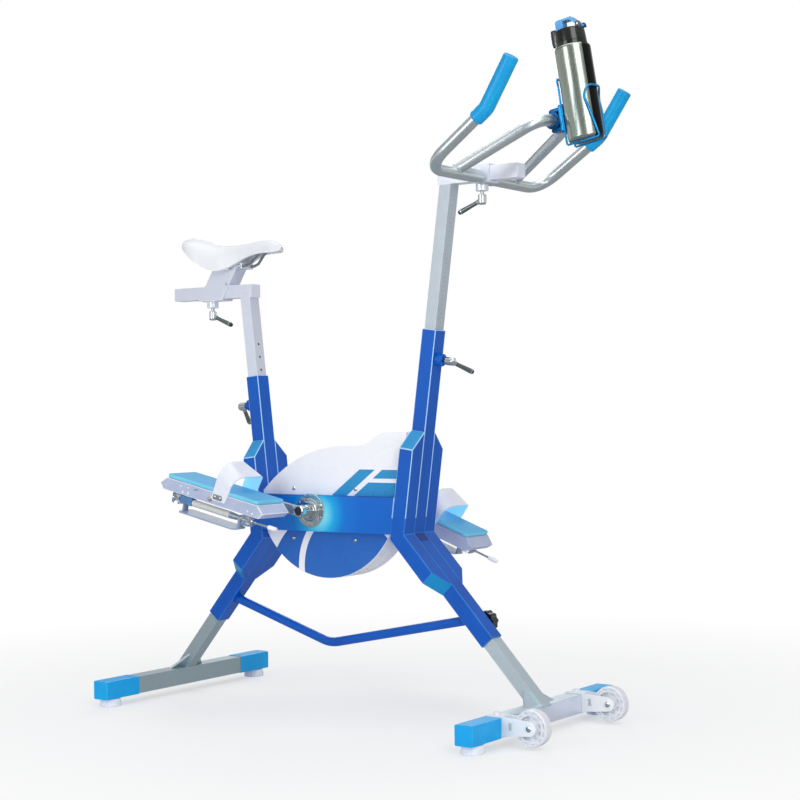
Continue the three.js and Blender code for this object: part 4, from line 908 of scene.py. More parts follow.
# %% Both ends of the frame
rear_leg_lean = math.radians(40.2)
rear_leg_down = Vector((-math.sin(rear_leg_lean), 0, -math.cos(rear_leg_lean)))
rear_lever_height, front_lever_height = 311 * mm, 398 * mm
rear_sleeves, front_sleeves = (378 * mm, 267 * mm), (463 * mm, 304 * mm)
rear_lever = joint_at("seat_height_lever_turn")
front_lever = joint_at("bar_height_lever_turn")
rear_knee = rear_lever[0] - rear_lever[1] * tube_half_depth - seat_up * rear_lever_height
front_knee = front_lever[0] - front_lever[1] * tube_half_depth - bar_up * front_lever_height
for end, knee, up, down, sleeves, boxes, lever_joint in (
        ("rear", rear_knee, seat_up, rear_leg_down, rear_sleeves, (184 * mm, 94 * mm), rear_lever),
        ("front", front_knee, bar_up, front_leg_down, front_sleeves, (197 * mm, 118 * mm),
         front_lever)):
    middle_tube(f"{end}_middle_tube", knee, up, down, *sleeves, *lever_joint, f"{end}_frame_leg")
    for side, sign in both_sides:
        side_tube(f"{end}_{side}_knee_tube", knee, up, down, *boxes, sign)
# The end of the upright is a small step on the front of the lower leg; its dark blue is painted shade
out_of_leg = Vector((-front_leg_down.z, 0, front_leg_down.x))
step_place = place(front_knee + out_of_leg * tube_half_depth, x=sideways, z=-front_leg_down)
step = rounded("front_knee_step", block((-17, -0.6, -30), (17, 1.2, -4)), step_place, 0.5)
dress(step, shade_blue, "frame")
print("frame ends dressed")

# %% [markdown]
# ## Side rails and the bottom bar
# A side rail is a flat box tube whose ends follow the slope of the uprights, with the bearing's
# hub in it. On the outside its paint fades from near white cyan round the hub to blue, worked out
# from the distance to the crank. Its rolled edges are dark blue, which is painted shade.

# %% Rails


def glowing_paint(name, sign):
    paint = Finish(name, "frame_blue", Coat_Roughness=0.08, Specular_IOR_Level=0.25)
    reach = paint.node("ShaderNodeVectorMath", {"operation": "DISTANCE"},
                       {0: paint.coords, 1: crank_centre + point(20, sign * 60, -8)}, output=1)
    glow = paint.node("ShaderNodeValToRGB", {"stops": [
        (0.0, tone(196, 246, 255)), (0.026, tone(120, 226, 248)), (0.046, tone(24, 176, 234)),
        (0.075, tone(4, 122, 214)), (0.12, tone(4, 106, 206)), (0.3, tone(3, 94, 192))]},
                      {0: reach})
    clouds = paint.noise(9, 2)
    paint.bump(paint.noise(520, 2), 0.12 * mm, 0.5)
    return paint.set(Base_Color=paint.mix(clouds * 0.2, glow, tone(3, 84, 180)),
                     Roughness=0.26 + clouds * 0.1, Coat_Weight=0.2 + clouds * 0.08)


for side, sign in both_sides:
    # The rolled edges of each rail take the dark blue of painted shade
    eased(f"{side}_side_rail", 1.6, glowing_paint(f"{side}_rail_paint", sign), "frame", 3, shade_blue)
    low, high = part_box(f"{side}_side_rail")
    for end, up, knee, inward in (("rear", seat_up, rear_knee, 1), ("front", bar_up, front_knee, -1)):
        face = place(knee, y=sideways, z=up) @ Vector((inward * (tube_half_depth + 0.2 * mm), 0, 0))
        line = [face + up * ((z - face.z) / up.z) + sideways * sign * frame_half_width
                for z in (low.z + 1 * mm, high.z - 1 * mm)]
        # Each bead is in the pale edge blue, a painted highlight
        weld(f"{end}_{side}_rail_weld", line, "frame", 1.2, False, highlight_blue)

# The bar between the two legs, with a bead where it meets each leg
bar_radius = 10.5 * mm
bar_bend = crank_centre + point(7, 0, -310)
leg_reach = tube_half_depth + 0.3 * mm


def bar_start(knee, leg_down, drop, sign_x):
    """Where the bar's middle line leaves the face of a leg, and the way out of that face."""
    spot = knee + leg_down * (drop * mm / -leg_down.z)
    out = Vector((leg_down.z, 0, -leg_down.x)) * sign_x
    along = (bar_bend - spot).normalized()
    return spot + along * (leg_reach / along.dot(out)), out


rear_start, rear_out = bar_start(rear_knee, rear_leg_down, 153.2, -1)
front_start, front_out = bar_start(front_knee, front_leg_down, 175.9, 1)
bottom_line = bent([rear_start, bar_bend, front_start], [90 * mm], 20)
bottom = tube("bottom_bar_tube", bottom_line, bar_radius, frame_blue, 28)
dress(bottom, frame_blue, "frame", "bottom_bar")
for end, start, out, toward in (("rear", rear_start, rear_out, bottom_line[1]),
                                ("front", front_start, front_out, bottom_line[-2])):
    along = (toward - start).normalized()
    ring = []
    for c, s in circle(1, 32):
        spoke = (sideways * c + along.cross(sideways) * s) * bar_radius
        ring.append(start + spoke - along * (spoke.dot(out) / along.dot(out)) + out * 0.8 * mm)
    weld(f"bottom_bar_{end}_weld", ring, "frame", 1.8)
print("rails and bottom bar dressed")

# %% [markdown]
# ## The fairing round the water rotor
# Two moulded half shells meet in the middle of the bike: a round drum below and a flatter arch
# that climbs to the handlebar upright. The solid has straight facets, so the outline is drawn
# again with fine arcs. The outer faces are white, with a blue field and one white arc below, and
# one cyan band with a white line across it above. An image would blur close up, so the colours
# are worked out from distances and stay sharp at any size.

# %% The fairing's outline
fairing_half = 39.7 * mm
fairing_wall = 3 * mm
knee_gap = 404 * mm
drum = Vector((rear_knee.x + 0.4742 * knee_gap, crank_centre.z + 47.5 * mm))
drum_radius = 0.5037 * knee_gap
arch = Vector((rear_knee.x + 0.635 * knee_gap, crank_centre.z - 199 * mm))
arch_radius = 0.8614 * knee_gap
shoulder_x = rear_knee.x + 0.6845 * knee_gap
shoulder_run = 0.2475 * knee_gap
shoulder_rise = 30 * mm


def front_face_x(height, gap):
    lean = bar_up.x / bar_up.z
    return front_knee.x + (height - front_knee.z) * lean - tube_half_depth / bar_up.z - gap


def bezier(a, b, c, d, steps):
    points = []
    for i in range(1, steps + 1):
        t = i / steps
        points.append(tuple(sum(w * v[k] for w, v in zip(
            ((1 - t) ** 3, 3 * t * (1 - t) ** 2, 3 * t ** 2 * (1 - t), t ** 3), (a, b, c, d)))
            for k in (0, 1)))
    return points


def fairing_outline(inset):
    big, small = arch_radius - inset, drum_radius - inset
    gap = 0.3 * mm + inset
    start = math.acos((shoulder_x - arch.x) / arch_radius)
    end = math.acos((rear_knee.x + 0.0187 * knee_gap + inset - arch.x) / arch_radius)
    top = arch.y + big * math.sin(start)
    rise = arch.y + arch_radius + shoulder_rise - inset
    points = arc(drum, small, 180, 360, 56)
    points += [(front_face_x(drum.y, gap), drum.y), (front_face_x(rise, gap), rise)]
    peak = (shoulder_x + shoulder_run, rise)
    middle = shoulder_x + shoulder_run / 2
    points += [peak] + bezier(peak, (middle, rise), (middle, top), (shoulder_x, top), 12)[:-1]
    return points + arc(arch, big, math.degrees(start), math.degrees(end), 40)


print("fairing outline of", len(fairing_outline(0)), "points")

# %% Its paint and both shells


def fairing_paint(name, sign):
    """White gloss with a blue field, a white arc and a cyan band on the outer face."""
    paint = Finish(name, "fairing_white", Coat_Roughness=0.06, Specular_IOR_Level=0.3)
    x, z = paint.along(forward), paint.along(upward)
    outer = paint.along(sideways * sign) > fairing_half - 0.6 * mm

    def ring(cx, cz):
        squares = [paint.sum("POWER", x - cx * mm, 2.0), paint.sum("POWER", z - cz * mm, 2.0)]
        return paint.sum("SQRT", paint.sum("ADD", *squares))

    field = (ring(-79.5, 268) < 198 * mm) * (z < crank_centre.z - 20 * mm)
    arc_line = ring(-37.5, 328)
    stripe = (arc_line > 131 * mm) * (arc_line < 148 * mm)
    slope = paint.along(Vector((-0.6, 0, 0.8)), point(-88, 0, 493))
    band = (slope < 0.0) * (z < 553 * mm) * (z > crank_centre.z)
    line = (slope < -26 * mm) * (slope > -38 * mm)
    shelf = (z > 524 * mm) * (z < 533 * mm) * (slope < -37 * mm)
    ink = paint.mix(outer * field * (1 - stripe), tone(250, 250, 255), tone(0, 98, 190))
    ink = paint.mix(outer * band * (1 - line) * (1 - shelf), ink, tone(8, 146, 204))
    clouds = paint.noise(10, 2)
    paint.bump(paint.noise(300, 2), 0.08 * mm, 0.4)
    return paint.set(Base_Color=paint.mix(clouds * 0.06, ink, tone(200, 210, 235)),
                     Roughness=0.22 + clouds * 0.1, Coat_Weight=0.16 + clouds * 0.08)


for side, sign in both_sides:
    low, high = sorted((sign * 0.15 * mm, sign * fairing_half))
    shell = rounded(f"{side}_fairing_shell", slab(fairing_outline(0), low, high), Matrix(), 2.4, 3, 60)
    inside = sorted((-sign * 6 * mm, sign * (fairing_half - fairing_wall)))
    hollowed(shell, slab(fairing_outline(fairing_wall), *inside))
    axle_hole = rod(13.1, -100, 100, 40)
    hollowed(shell, axle_hole, place(crank_centre, x=forward, z=sideways))
    notch = slab(knee_outline(seat_up, rear_leg_down, *rear_sleeves, leg_reach),
                 -frame_half_width, frame_half_width)
    hollowed(shell, notch, Matrix.Translation(rear_knee))
    paint = fairing_paint(f"{side}_fairing_paint", sign)
    dress(smooth(shell, 30), paint, "frame", f"{side}_fairing")

spots = [(Vector((x * mm, sign * fairing_half, z * mm)), sideways * sign, forward)
         for x, z in ((-197.5, 507), (-199.5, 391.5), (-20.9, 392.6), (-19.5, 508))
         for sign in (1, -1)]
repeated("fairing_screws", button_head(4.6, 2.6), spots, chrome, "frame")
print("fairing dressed")

# %% [markdown]
# ## Crank: bearing flanges, arms and spindles
# A polished flange screws over each bearing. The crank arm is forged: a round hub on the axle,
# a bar that tapers and an eye at its end. Inside the hub a bolt holds the arm, seen as a dark
# ring from the side.

# %% The crank
flange_profile = [(12.8, 60.3), (39, 60.3), (39, 63.3), (37.8, 64.3), (31, 64.6), (29.6, 64.1),
                  (27, 64.1), (25.4, 65.2), (21.4, 65.2), (20, 66.2), (19.4, 68.3), (12.8, 68.3),
                  (12.8, 60.3)]
hub_profile = [(9.3, 68.6), (12.6, 68.6), (13.7, 69.8), (13.7, 104.6), (13.0, 106.4), (11.6, 107),
               (10.2, 107), (9.6, 105.4), (9.3, 104), (9.3, 68.6)]
bolt_profile = [(0, 103.3), (8.6, 103.3), (8.6, 104.6), (7.6, 105.2), (4.8, 105.2), (4.2, 104.2),
                (0, 104.2)]


def crank_arm(side, sign, outward):
    """A tapering bar with a round hub and an eye, on the way to its pedal."""
    spindle = joint_at(f"{side}_pedal_spin")[0]
    reach = spindle - crank_centre
    arm = place(crank_centre, x=reach.normalized(), y=sideways)
    points = arc((0, 0), 12 * mm, 90, 270, 16) + arc((reach.length, 0), 11 * mm, -90, 90, 16)
    low, high = sorted((sign * 94 * mm, sign * 107 * mm))
    spindle_hole, hub_hole = rod(7.3, 80, 120, 32), rod(13.2, 60, 120, 40)
    bar = rounded(f"{side}_crank_bar", slab(points, low, high), arm, 2.4, 3, 60)
    hollowed(bar, spindle_hole, place(spindle, x=forward, z=sideways * sign))
    hollowed(bar, hub_hole, outward)
    dress(smooth(bar, 35), chrome, "crank", f"{side}_crank_arm")
    dress(spun(f"{side}_crank_hub", hub_profile, outward, 48), chrome, "crank")
    dress(spun(f"{side}_crank_bolt", bolt_profile, outward, 32), black_plastic, "crank")


for side, sign in both_sides:
    outward = place(crank_centre, x=forward, z=sideways * sign)
    dress(spun(f"{side}_flange_disc", flange_profile, outward, 72, 30), chrome, "frame",
          f"{side}_bearing_flange")
    spots = [(outward @ point(x, y, 64.1), sideways * sign, forward)
             for x, y in arc((0, 0), 34, 30, 330, 5)]
    repeated(f"{side}_flange_screws", button_head(3, 1.6), spots, bright_wire, "frame")
    crank_arm(side, sign, outward)
    cover(f"{side}_bearing", bush_plastic)
    cover(f"{side}_pedal_spindle", bright_wire)
cover("crank_axle", bright_wire)
cover("paddle_rotor", rotor_plastic)
print("crank dressed")

# %% [markdown]
# ## Posts, rails and sliders
# The seat and the handlebar stand on drawn aluminium tubes. Their solids already have the right
# shape, so a copy keeps it and gets rolled edges. The index holes are drilled into it with one
# cutter, which is a row of pegs that the repeating tree lays out.

# %% Posts, with their holes, marks and end caps
post_half_depth = 14.5 * mm
rail_half_height = 15.5 * mm
hole_pitch = 31 * mm
first_mark, mark_pitch, mark_count = 470 * mm, 10 * mm, 30
cap_plastic = moulded("rail_cap_plastic", "pedal_grey", (226, 230, 244), (212, 217, 235), rough=0.35)
mark_grey = moulded("pressed_mark_grey", "satin_silver", (150, 158, 178), (134, 142, 164))


def drilled(obj, spots, radius, depth):
    """Cuts a round hole at each spot of a piece."""
    peg = shown("peg", rod(radius, -depth, depth, 20))
    return smooth(carve(obj, copies("pegs", peg, spots)))


def rail_cap(name, node, sign):
    """A light plastic plug whose rim closes the open end of a top rail."""
    low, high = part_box(node)
    middle = Vector((high.x if sign > 0 else low.x, 0, high.z - rail_half_height))
    rim = slab(rounded_box(32, 31, 2.2), 0.2 * mm, 2 * mm, "xy")
    dress(rounded(name, rim, place(middle, x=sideways, z=forward * sign), 0.7), cap_plastic, node)


seat_face = place(Vector(), y=sideways, z=seat_up) @ forward
# The rolled edges of the posts take near white metal, a painted highlight
seat_post = eased("seat_post", 1.5, pale_metal, "seat_post", 3, highlight_metal_edge)
middle_hole = rear_knee + seat_face * post_half_depth + seat_up * (rear_sleeves[0] + 13 * mm)
spots = [(middle_hole + seat_up * hole_pitch * i, seat_face, sideways) for i in range(-4, 3)]
drilled(seat_post, spots, 3.4, 1.6)
disc = shown("disc", rod(3.3, -1.55, -0.7, 20))
repeated("seat_post_hole_shades", disc, spots, black_plastic, "seat_post")
bar_rail_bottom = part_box("bar_post")[1].z - 31.5 * mm
bar_post_metal = drawn_metal("bar_post_tube", (204, 214, 222), (182, 193, 202), (500, 500, 60),
                             0.34, 0.65, (bar_rail_bottom, (236, 238, 250)))
eased("bar_post", 1.5, bar_post_metal, "bar_post", 3, highlight_metal_edge)
rail_cap("seat_rail_cap", "seat_post", -1)
rail_cap("bar_rail_cap", "bar_post", 1)

# The bar post carries fine pressed marks, one for each centimetre of height
bar_face = place(Vector(), y=sideways, z=bar_up) @ forward
dash = rounded("dash", block((-3, -0.6, -0.3), (3, 0.6, 0.12)), Matrix(), 0.25, 1)
spots = [(front_knee + bar_face * post_half_depth + bar_up * (first_mark + mark_pitch * i),
          bar_face, sideways) for i in range(mark_count)]
repeated("bar_post_marks", dash, spots, mark_grey, "bar_post")
print("posts dressed")

# %% Sliders and their screws
for node, slider, x, z, head in (("saddle_slider", saddle_slider, 55, 19, (3.6, 2)),
                                 ("bar_slider", bar_slider, -14, -12, (3.4, 1.8))):
    # The rolled edges of the sliders take near white metal, a painted highlight
    eased(node, 1.4, pale_metal, node, 3, highlight_metal_edge)
    spots = [(slider @ point(x, sign * 20.3, z), sideways * sign, forward) for sign in (1, -1)]
    repeated(node + "_screws", button_head(*head), spots, chrome, node)
print("sliders dressed")

# %% [markdown]
# ## Handlebar
# One bent tube carries the grips, and a second bow is welded across it to stiffen the ends and to
# hold the bottle. Both follow a line of corners with a radius at each bend. The grips are smooth
# sleeves that start below the last bend and follow it round, so they use the same line.

# %% Handlebar, bow and grips
bar_tube = 12.5 * mm
main_corners = [(0, 20.3, -10.5), (-1, 226, -11), (150.3, 233.1, 93.6), (211.3, 238.1, 186)]
bow_corners = [(-0.5, 116, -3.8), (174, 58, 95), (174, 0, 95)]
end_bend = 40 * mm
tube_drop = 10.8 * mm
grip_below_bend, grip_past_end = 33 * mm, 4.3 * mm


def bar_points(corners, radii):
    """The whole symmetric line from the half on the left side."""
    half = bent([point(*c) for c in corners], radii, 16)
    other = [Vector((p.x, -p.y, p.z)) for p in half]
    return moved(other[::-1] + half, bar_slider)


for name, corners, radii, replaced in (
        ("handlebar_tube", main_corners, [62 * mm, end_bend], ["handlebar"]),
        ("handlebar_bow", bow_corners, [60 * mm], [])):
    piece = tube(name, bar_points(corners, radii), bar_tube, anodised_bar, 32)
    dress(piece, anodised_bar, "bar_slider", *replaced)

for side, sign in both_sides:
    before, bend, end = [point(x, sign * y, z) for x, y, z in main_corners[-3:]]
    start = bend + (before - bend).normalized() * grip_below_bend
    end = end + (end - bend).normalized() * grip_past_end
    line = moved(bent([start, bend, end], [end_bend], 12), bar_slider)
    grip = tube(f"{side}_grip_sleeve", line, 16.3 * mm, grip_rubber, 40)
    dress(soften(grip, 3.4, 4, 60), grip_rubber, "bar_slider", f"{side}_grip")
    # The bow is notched over the main tube, and the bead follows where the two round skins meet
    foot, top = [point(x, sign * y, z) for x, y, z in bow_corners[:2]]
    along = (top - foot).normalized()
    spoke = along.cross(upward).normalized()
    rise = spoke.cross(along)
    ring = []
    for c, s in circle(1, 40):
        skin = foot + (spoke * c + rise * s) * bar_tube
        x, z = skin.x, skin.z + tube_drop
        square = along.x ** 2 + along.z ** 2
        half = (x * along.x + z * along.z) / square
        room = half ** 2 - (x ** 2 + z ** 2 - (bar_tube + 0.3 * mm) ** 2) / square
        ring.append(skin + along * max(math.sqrt(max(room, 0)) - half, 0.5 * mm))
    weld(f"{side}_bow_weld", moved(ring, bar_slider), "bar_slider", 1.5, True, anodised_bar)
    ring = [point(x, sign * 20.9, z) for x, z in arc((0, -10.5), 13, 183.6, 356.4, 24)]
    weld(f"{side}_slider_weld", moved(ring, bar_slider), "bar_slider", 1.3, False, anodised_bar)
print("handlebar dressed")

# %% [markdown]
# ## Saddle
# The saddle is a moulded shell under a thin pad with a smooth cover. Stations from the tail to
# the nose give its width, its height and how far its skirt hangs down, each a share of the whole.
# A smooth curve through the stations and a rounded cross-section make a fine closed skin, and the
# underside is hollow like the real one.

# %% The saddle
saddle_length, saddle_half_width = 270 * mm, 75 * mm
saddle_skirt, saddle_top = 49 * mm, 136 * mm
saddle_tail = -59 * mm
saddle_wall = 8 * mm
saddle_roundness = 0.62
saddle_shares = [
    (0.000, 0.50, 0.88, 0.78), (0.035, 0.84, 0.98, 0.70), (0.090, 0.97, 1.00, 0.56),
    (0.150, 1.00, 0.97, 0.40), (0.220, 0.97, 0.88, 0.23), (0.300, 0.84, 0.79, 0.08),
    (0.380, 0.66, 0.75, 0.00), (0.470, 0.50, 0.74, 0.07), (0.560, 0.40, 0.74, 0.20),
    (0.660, 0.33, 0.76, 0.34), (0.760, 0.29, 0.79, 0.42), (0.860, 0.27, 0.80, 0.44),
    (0.930, 0.24, 0.76, 0.44), (0.975, 0.18, 0.68, 0.46), (1.000, 0.07, 0.58, 0.50)]


def through(rows, at):
    """A smooth curve through rows whose first value is the place along it."""
    i = max(k for k in range(len(rows) - 1) if rows[k][0] <= at or k == 0)
    before, start = rows[max(i - 1, 0)], rows[i]
    end, after = rows[i + 1], rows[min(i + 2, len(rows) - 1)]
    run = end[0] - start[0]
    t = (at - start[0]) / run
    values = []
    for k in range(1, len(start)):
        rise_in = (end[k] - before[k]) / (end[0] - before[0]) * run
        rise_out = (after[k] - start[k]) / (after[0] - start[0]) * run
        values.append(start[k] * (1 + 2 * t) * (1 - t) ** 2 + rise_in * t * (1 - t) ** 2
                      + end[k] * t ** 2 * (3 - 2 * t) + rise_out * t ** 2 * (t - 1))
    return values


def saddle_section(at, inset):
    """One cross-section as an arch, drawn in by the inset."""
    width, top, skirt = through(saddle_shares, at)
    half = max(width * saddle_half_width - inset, 2 * mm)
    span = saddle_top - saddle_skirt
    high, low = saddle_skirt + top * span - inset, saddle_skirt + skirt * span
    x = saddle_tail + at * saddle_length
    x += inset if at == 0 else -inset if at == 1 else 0
    turns = [math.pi * i / 32 for i in range(33)]
    return [Vector((x, half * math.cos(t), low + (high - low) * math.sin(t) ** saddle_roundness))
            for t in turns]


def lofted(rings):
    """A closed skin through rings, with a face at each end."""
    bm = bmesh.new()
    laid = [[bm.verts.new(p) for p in ring] for ring in rings]
    count = len(rings[0])
    for a, b in zip(laid, laid[1:]):
        for i in range(count):
            j = (i + 1) % count
            bm.faces.new((a[i], a[j], b[j], b[i]))
    for ring in (laid[0], laid[-1]):
        bm.faces.new(ring)
    return bm


stations = [i / 60 for i in range(61)]
rings = [saddle_section(at, 0) + saddle_section(at, saddle_wall)[::-1] for at in stations]
cover_white = moulded("saddle_white_cover", "saddle_white", (236, 237, 240), (228, 230, 234),
                      grain=420, depth=0.08, rough=0.42, coat=0.1)
saddle = smooth(rounded("saddle_cover", lofted(rings), saddle_slider, 1.2, 2, 50), 60)
dress(saddle, cover_white, "saddle_slider", "saddle")
print("saddle stations", len(stations))

# %% Saddle clamp and wires
eased("saddle_clamp", 1.4, pale_metal, "saddle_slider")
washer = spun("washer", [(0, 0), (5.6, 0), (5.6, 1), (3.4, 1.4), (3.2, 3), (0, 3.2)], steps=20)
spots = [(saddle_slider @ point(x, sign * 21.2, 59.8), sideways * sign, forward)
         for x in (66, 94) for sign in (1, -1)]
repeated("saddle_clamp_bolts", washer, spots, chrome, "saddle_slider")
cover("saddle_wires", bright_wire)
print("saddle dressed")

# %% [markdown]
# ## Bottle and cage
# The bottle is spun from steel: a straight can, a rounded shoulder, a neck and a black lid with a
# latch. A turned profile makes the can and the lid, and the black band down the front is part of
# the steel's material, a wedge of directions round the bottle's middle line.

# %% The bottle
bottle_up = joint_at("bottle_lift")[1]
bottle_base = bar_slider @ point(249, 0, 48.5)
bottle_seat = place(bottle_base, y=sideways, z=bottle_up)
bottle_turn = bottle_seat.to_3x3()


def bottle_steel():
    """Spun steel with a green cast and one black band."""
    steel = Finish("bottle_steel", "bottle_steel", Specular_IOR_Level=0.25)
    across = steel.along(sideways, bottle_base)
    angle = steel.sum("ARCTAN2", across, steel.along(bottle_turn @ forward, bottle_base))
    band = (angle > math.radians(-30)) * (angle < math.radians(7))
    lines = steel.noise(1, 4, steel.stretched((900, 900, 30), (0, math.radians(9.5), 0)))
    clouds = steel.noise(16, 3)
    grain = steel.limit(lines * 0.6 + clouds * 0.5 - 0.1)
    metal = steel.mix(grain, tone(150, 162, 150), tone(190, 200, 190))
    steel.bump(lines, 0.02 * mm, 0.4)
    return steel.set(Base_Color=steel.mix(band, metal, tone(3, 6, 6)), Metallic=1 - band * 0.95,
                     Roughness=0.24 + (lines - 0.5) * 0.16)


can = [(0, 0), (33, 0), (35.4, 0.6), (37.4, 2.4), (38.5, 5.2), (38.5, 193), (38.3, 196.4),
       (37.4, 198.4), (35.6, 199.6), (33.4, 200), (0, 200)]
dress(spun("bottle_can", can, bottle_seat, 72), bottle_steel(), "bottle", "bottle")
lid = [(0, 200.3), (32.4, 200.3), (33, 201), (33, 206.4), (32.2, 207.2), (32.2, 208.6),
       (32.8, 209.4), (31.6, 232), (30.6, 235.4), (28, 237), (0, 237)]
dress(spun("bottle_lid_cap", lid, bottle_seat, 64), gloss_black, "bottle", "bottle_lid")
latch = block((-42, -7, 209), (-29.5, 7, 247))
dress(rounded("lid_latch", latch, bottle_seat, 3.4, 4), gloss_black, "bottle")
button = block((-43, -4.6, 217), (-41, 4.6, 237))
dress(rounded("lid_button", button, bottle_seat, 0.9, 3), flip_plastic, "bottle")
for side, sign in both_sides:
    inner, outer = sorted((sign * 10.3 * mm, sign * 14.3 * mm))
    outline = [(21 * mm, 236 * mm), (35 * mm, 236 * mm)]
    outline += arc((28 * mm, 241.3 * mm), 6 * mm, 0, 180, 12)
    ear = rounded(f"lid_{side}_ear", slab(outline, inner, outer), bottle_seat, 0.8)
    dress(ear, gloss_black, "bottle")
hinge = place(joint_at("bottle_flip_open")[0], x=forward, z=sideways)
pin = smooth(shown("lid_hinge_pin", rod(2.2, -14.8, 14.8, 20), hinge), 35)
dress(pin, bright_wire, "bottle")
eased("bottle_flip", 1.7, flip_plastic, "bottle_flip", 3)
print("bottle dressed")

# %% [markdown]
# The cage is bent from wire: an arch in front of the bottle and a taller one behind it, joined
# by wires that run under its base. The two arches are drawn as an angle round the bottle and a
# height, so they stay on its surface. A clamp with two bolts holds the cage on the bow.

# %% The cage
wire = 2.3 * mm
cage_reach = 41.8
cage_floor = -2.9


def wrapped(rows):
    """Points round the bottle from rows of an angle in degrees and a height in millimetres."""
    return [point(cage_reach * math.cos(math.radians(a)), cage_reach * math.sin(math.radians(a)), z)
            for a, z in rows]


def cage_arch(name, middle, foot, spread, top, corner, *replaced):
    """Two legs that spread from the base and meet in an arch at the top."""
    half = [(foot + (spread - foot) * i / 12, (top - corner) * i / 12) for i in range(13)]
    half += [(spread * (1 - 0.5 * (1 - math.cos(math.pi / 2 * i / 10)) - 0.04 * i / 10),
              top - corner + corner * math.sin(math.pi / 2 * i / 10)) for i in range(1, 11)]
    half += [(half[-1][0] * (1 - i / 6), top) for i in range(1, 6)]
    rows = [(middle - a, z) for a, z in half] + [(middle, top)]
    line = wrapped(rows + [(middle + a, z) for a, z in half[::-1]])
    ends, corners = [[Vector((p.x * x_share, p.y * y_share, cage_floor * mm))
                      for p in (line[0], line[-1])] for x_share, y_share in ((0.2, 1), (0.93, 0.97))]
    line = [ends[0], corners[0]] + line + [corners[1], ends[1]]
    piece = tube(name, moved(line, bottle_seat), wire, cage_paint, 14)
    dress(piece, cage_paint, "bar_slider", *replaced)


cage_arch("cage_front_arch", 0, 23, 50, 106, 26, "bottle_cage")
cage_arch("cage_back_arch", 180, 24, 38, 140, 24)
for side, sign in both_sides:
    line = moved([point(x, sign * 15.5, cage_floor) for x in (-9, -4, 0, 4, 9)], bottle_seat)
    base_wire = tube(f"cage_{side}_base_wire", line, wire, cage_paint, 14)
    dress(base_wire, cage_paint, "bar_slider")
clamp_height, bolt_rise = 58.2, 20.5
ring_spot = point(-66.3, 0, clamp_height)
ring = [(13.1, -13), (16.6, -13), (18.1, -11.5), (18.1, 11.5), (16.6, 13), (13.1, 13), (13.1, -13)]
ring = spun("cage_clamp_ring", ring, bottle_seat @ place(ring_spot, x=forward, z=sideways), 48)
dress(ring, clamp_paint, "bar_slider")
plate = slab(rounded_box(26, 62, 7, 6), 0, 7.4 * mm, "xy")
plate_place = bottle_seat @ place(point(-49.4, 0, clamp_height), x=sideways, y=upward)
dress(rounded("cage_clamp_plate", plate, plate_place, 1.4, 3), cage_paint, "bar_slider")
away = bottle_turn @ -forward
for end, rise in (("upper", bolt_rise), ("lower", -bolt_rise)):
    spot = bottle_seat @ (ring_spot + point(4, 0, rise))
    lug = slab(rounded_box(24, 9, 3), -13 * mm, 7 * mm, "xy")
    dress(rounded(f"cage_{end}_lug", lug, place(spot, x=sideways, z=away), 1), clamp_paint,
          "bar_slider")
spots = [(bottle_seat @ (ring_spot + point(-3.2, y, rise)), away, sideways)
         for y in (-7, 7) for rise in (bolt_rise, -bolt_rise)]
repeated("cage_clamp_bolts", button_head(4, 4), spots, clamp_paint, "bar_slider")
print("cage dressed")

# %% [markdown]
# ## Pedals
# A pedal is a deep moulded tray with a foam pad, an arch over the foot and, under its outer edge,
# a rod that holds a clear flap. All of it turns on the spindle, so every piece of a side is drawn
# in the pedal's own directions: X to the toe, Y to the rider's left, and the sign points outward.

# %% Pedal finishes
pad_foam = moulded("foot_pad_foam", "pad_foam", (92, 176, 220), (82, 164, 212), grain=700, depth=0.2,
                   rough=0.75)
pad_side = moulded("foot_pad_cut_side", "pad_foam", (122, 214, 242), (110, 204, 236), grain=700,
                   depth=0.2, rough=0.7)
# The strap's inner face glows a little: painted light that stands for light coming through the strap
strap_inside_glow = moulded("strap_inner_face", "strap_white", (150, 222, 246), (136, 212, 242),
                       rough=0.35, Emission_Color=(0.32, 0.66, 0.84, 1), Emission_Strength=0.42)
# Near white on the rolled edges of the pedal body: painted highlight
pedal_highlight_edge = moulded("pedal_bright_edge", "pedal_grey", (244, 247, 255), (226, 232, 248), rough=0.25)
clear_blue = moulded("clear_blue_plastic", "flap_clear", (110, 176, 232), (90, 158, 224), depth=0.01,
                     rough=0.1, coat=0.4, Transmission_Weight=0.5)
bright_plastic = moulded("clear_pale_plastic", "flap_clear", (226, 236, 246), (206, 222, 240),
                         depth=0.01, rough=0.1, coat=0.5, Transmission_Weight=0.8)
pearl = moulded("pearl_sleeve", "flap_clear", (232, 235, 230), (206, 209, 200), rough=0.16, coat=0.5)
print("pedal finishes ready")

# %% The strap over the foot
strap_low = -2 * mm
strap_rear, strap_front = 89 * mm, 63 * mm
strap_inner, strap_wall, strap_top_wall = 47.3 * mm, 3 * mm, 3.3 * mm
outer_corner, rear_corner, toe_corner = 37 * mm, 36 * mm, 10 * mm
strap_start, strap_run, strap_lean = 4 * mm, 43 * mm, 18 * mm


def strap_path(half, top, outer, inner):
    """The arch from the outer foot over to the foot beside the bike, with its two corners."""
    points = [(half, strap_low + (top - outer - strap_low) * i / 5) for i in range(5)]
    points += arc((half - outer, top - outer), outer, 0, 90, 16)
    points += arc((inner - half, top - inner), inner, 90, 180, 8)
    return points + [(-half, strap_low)]


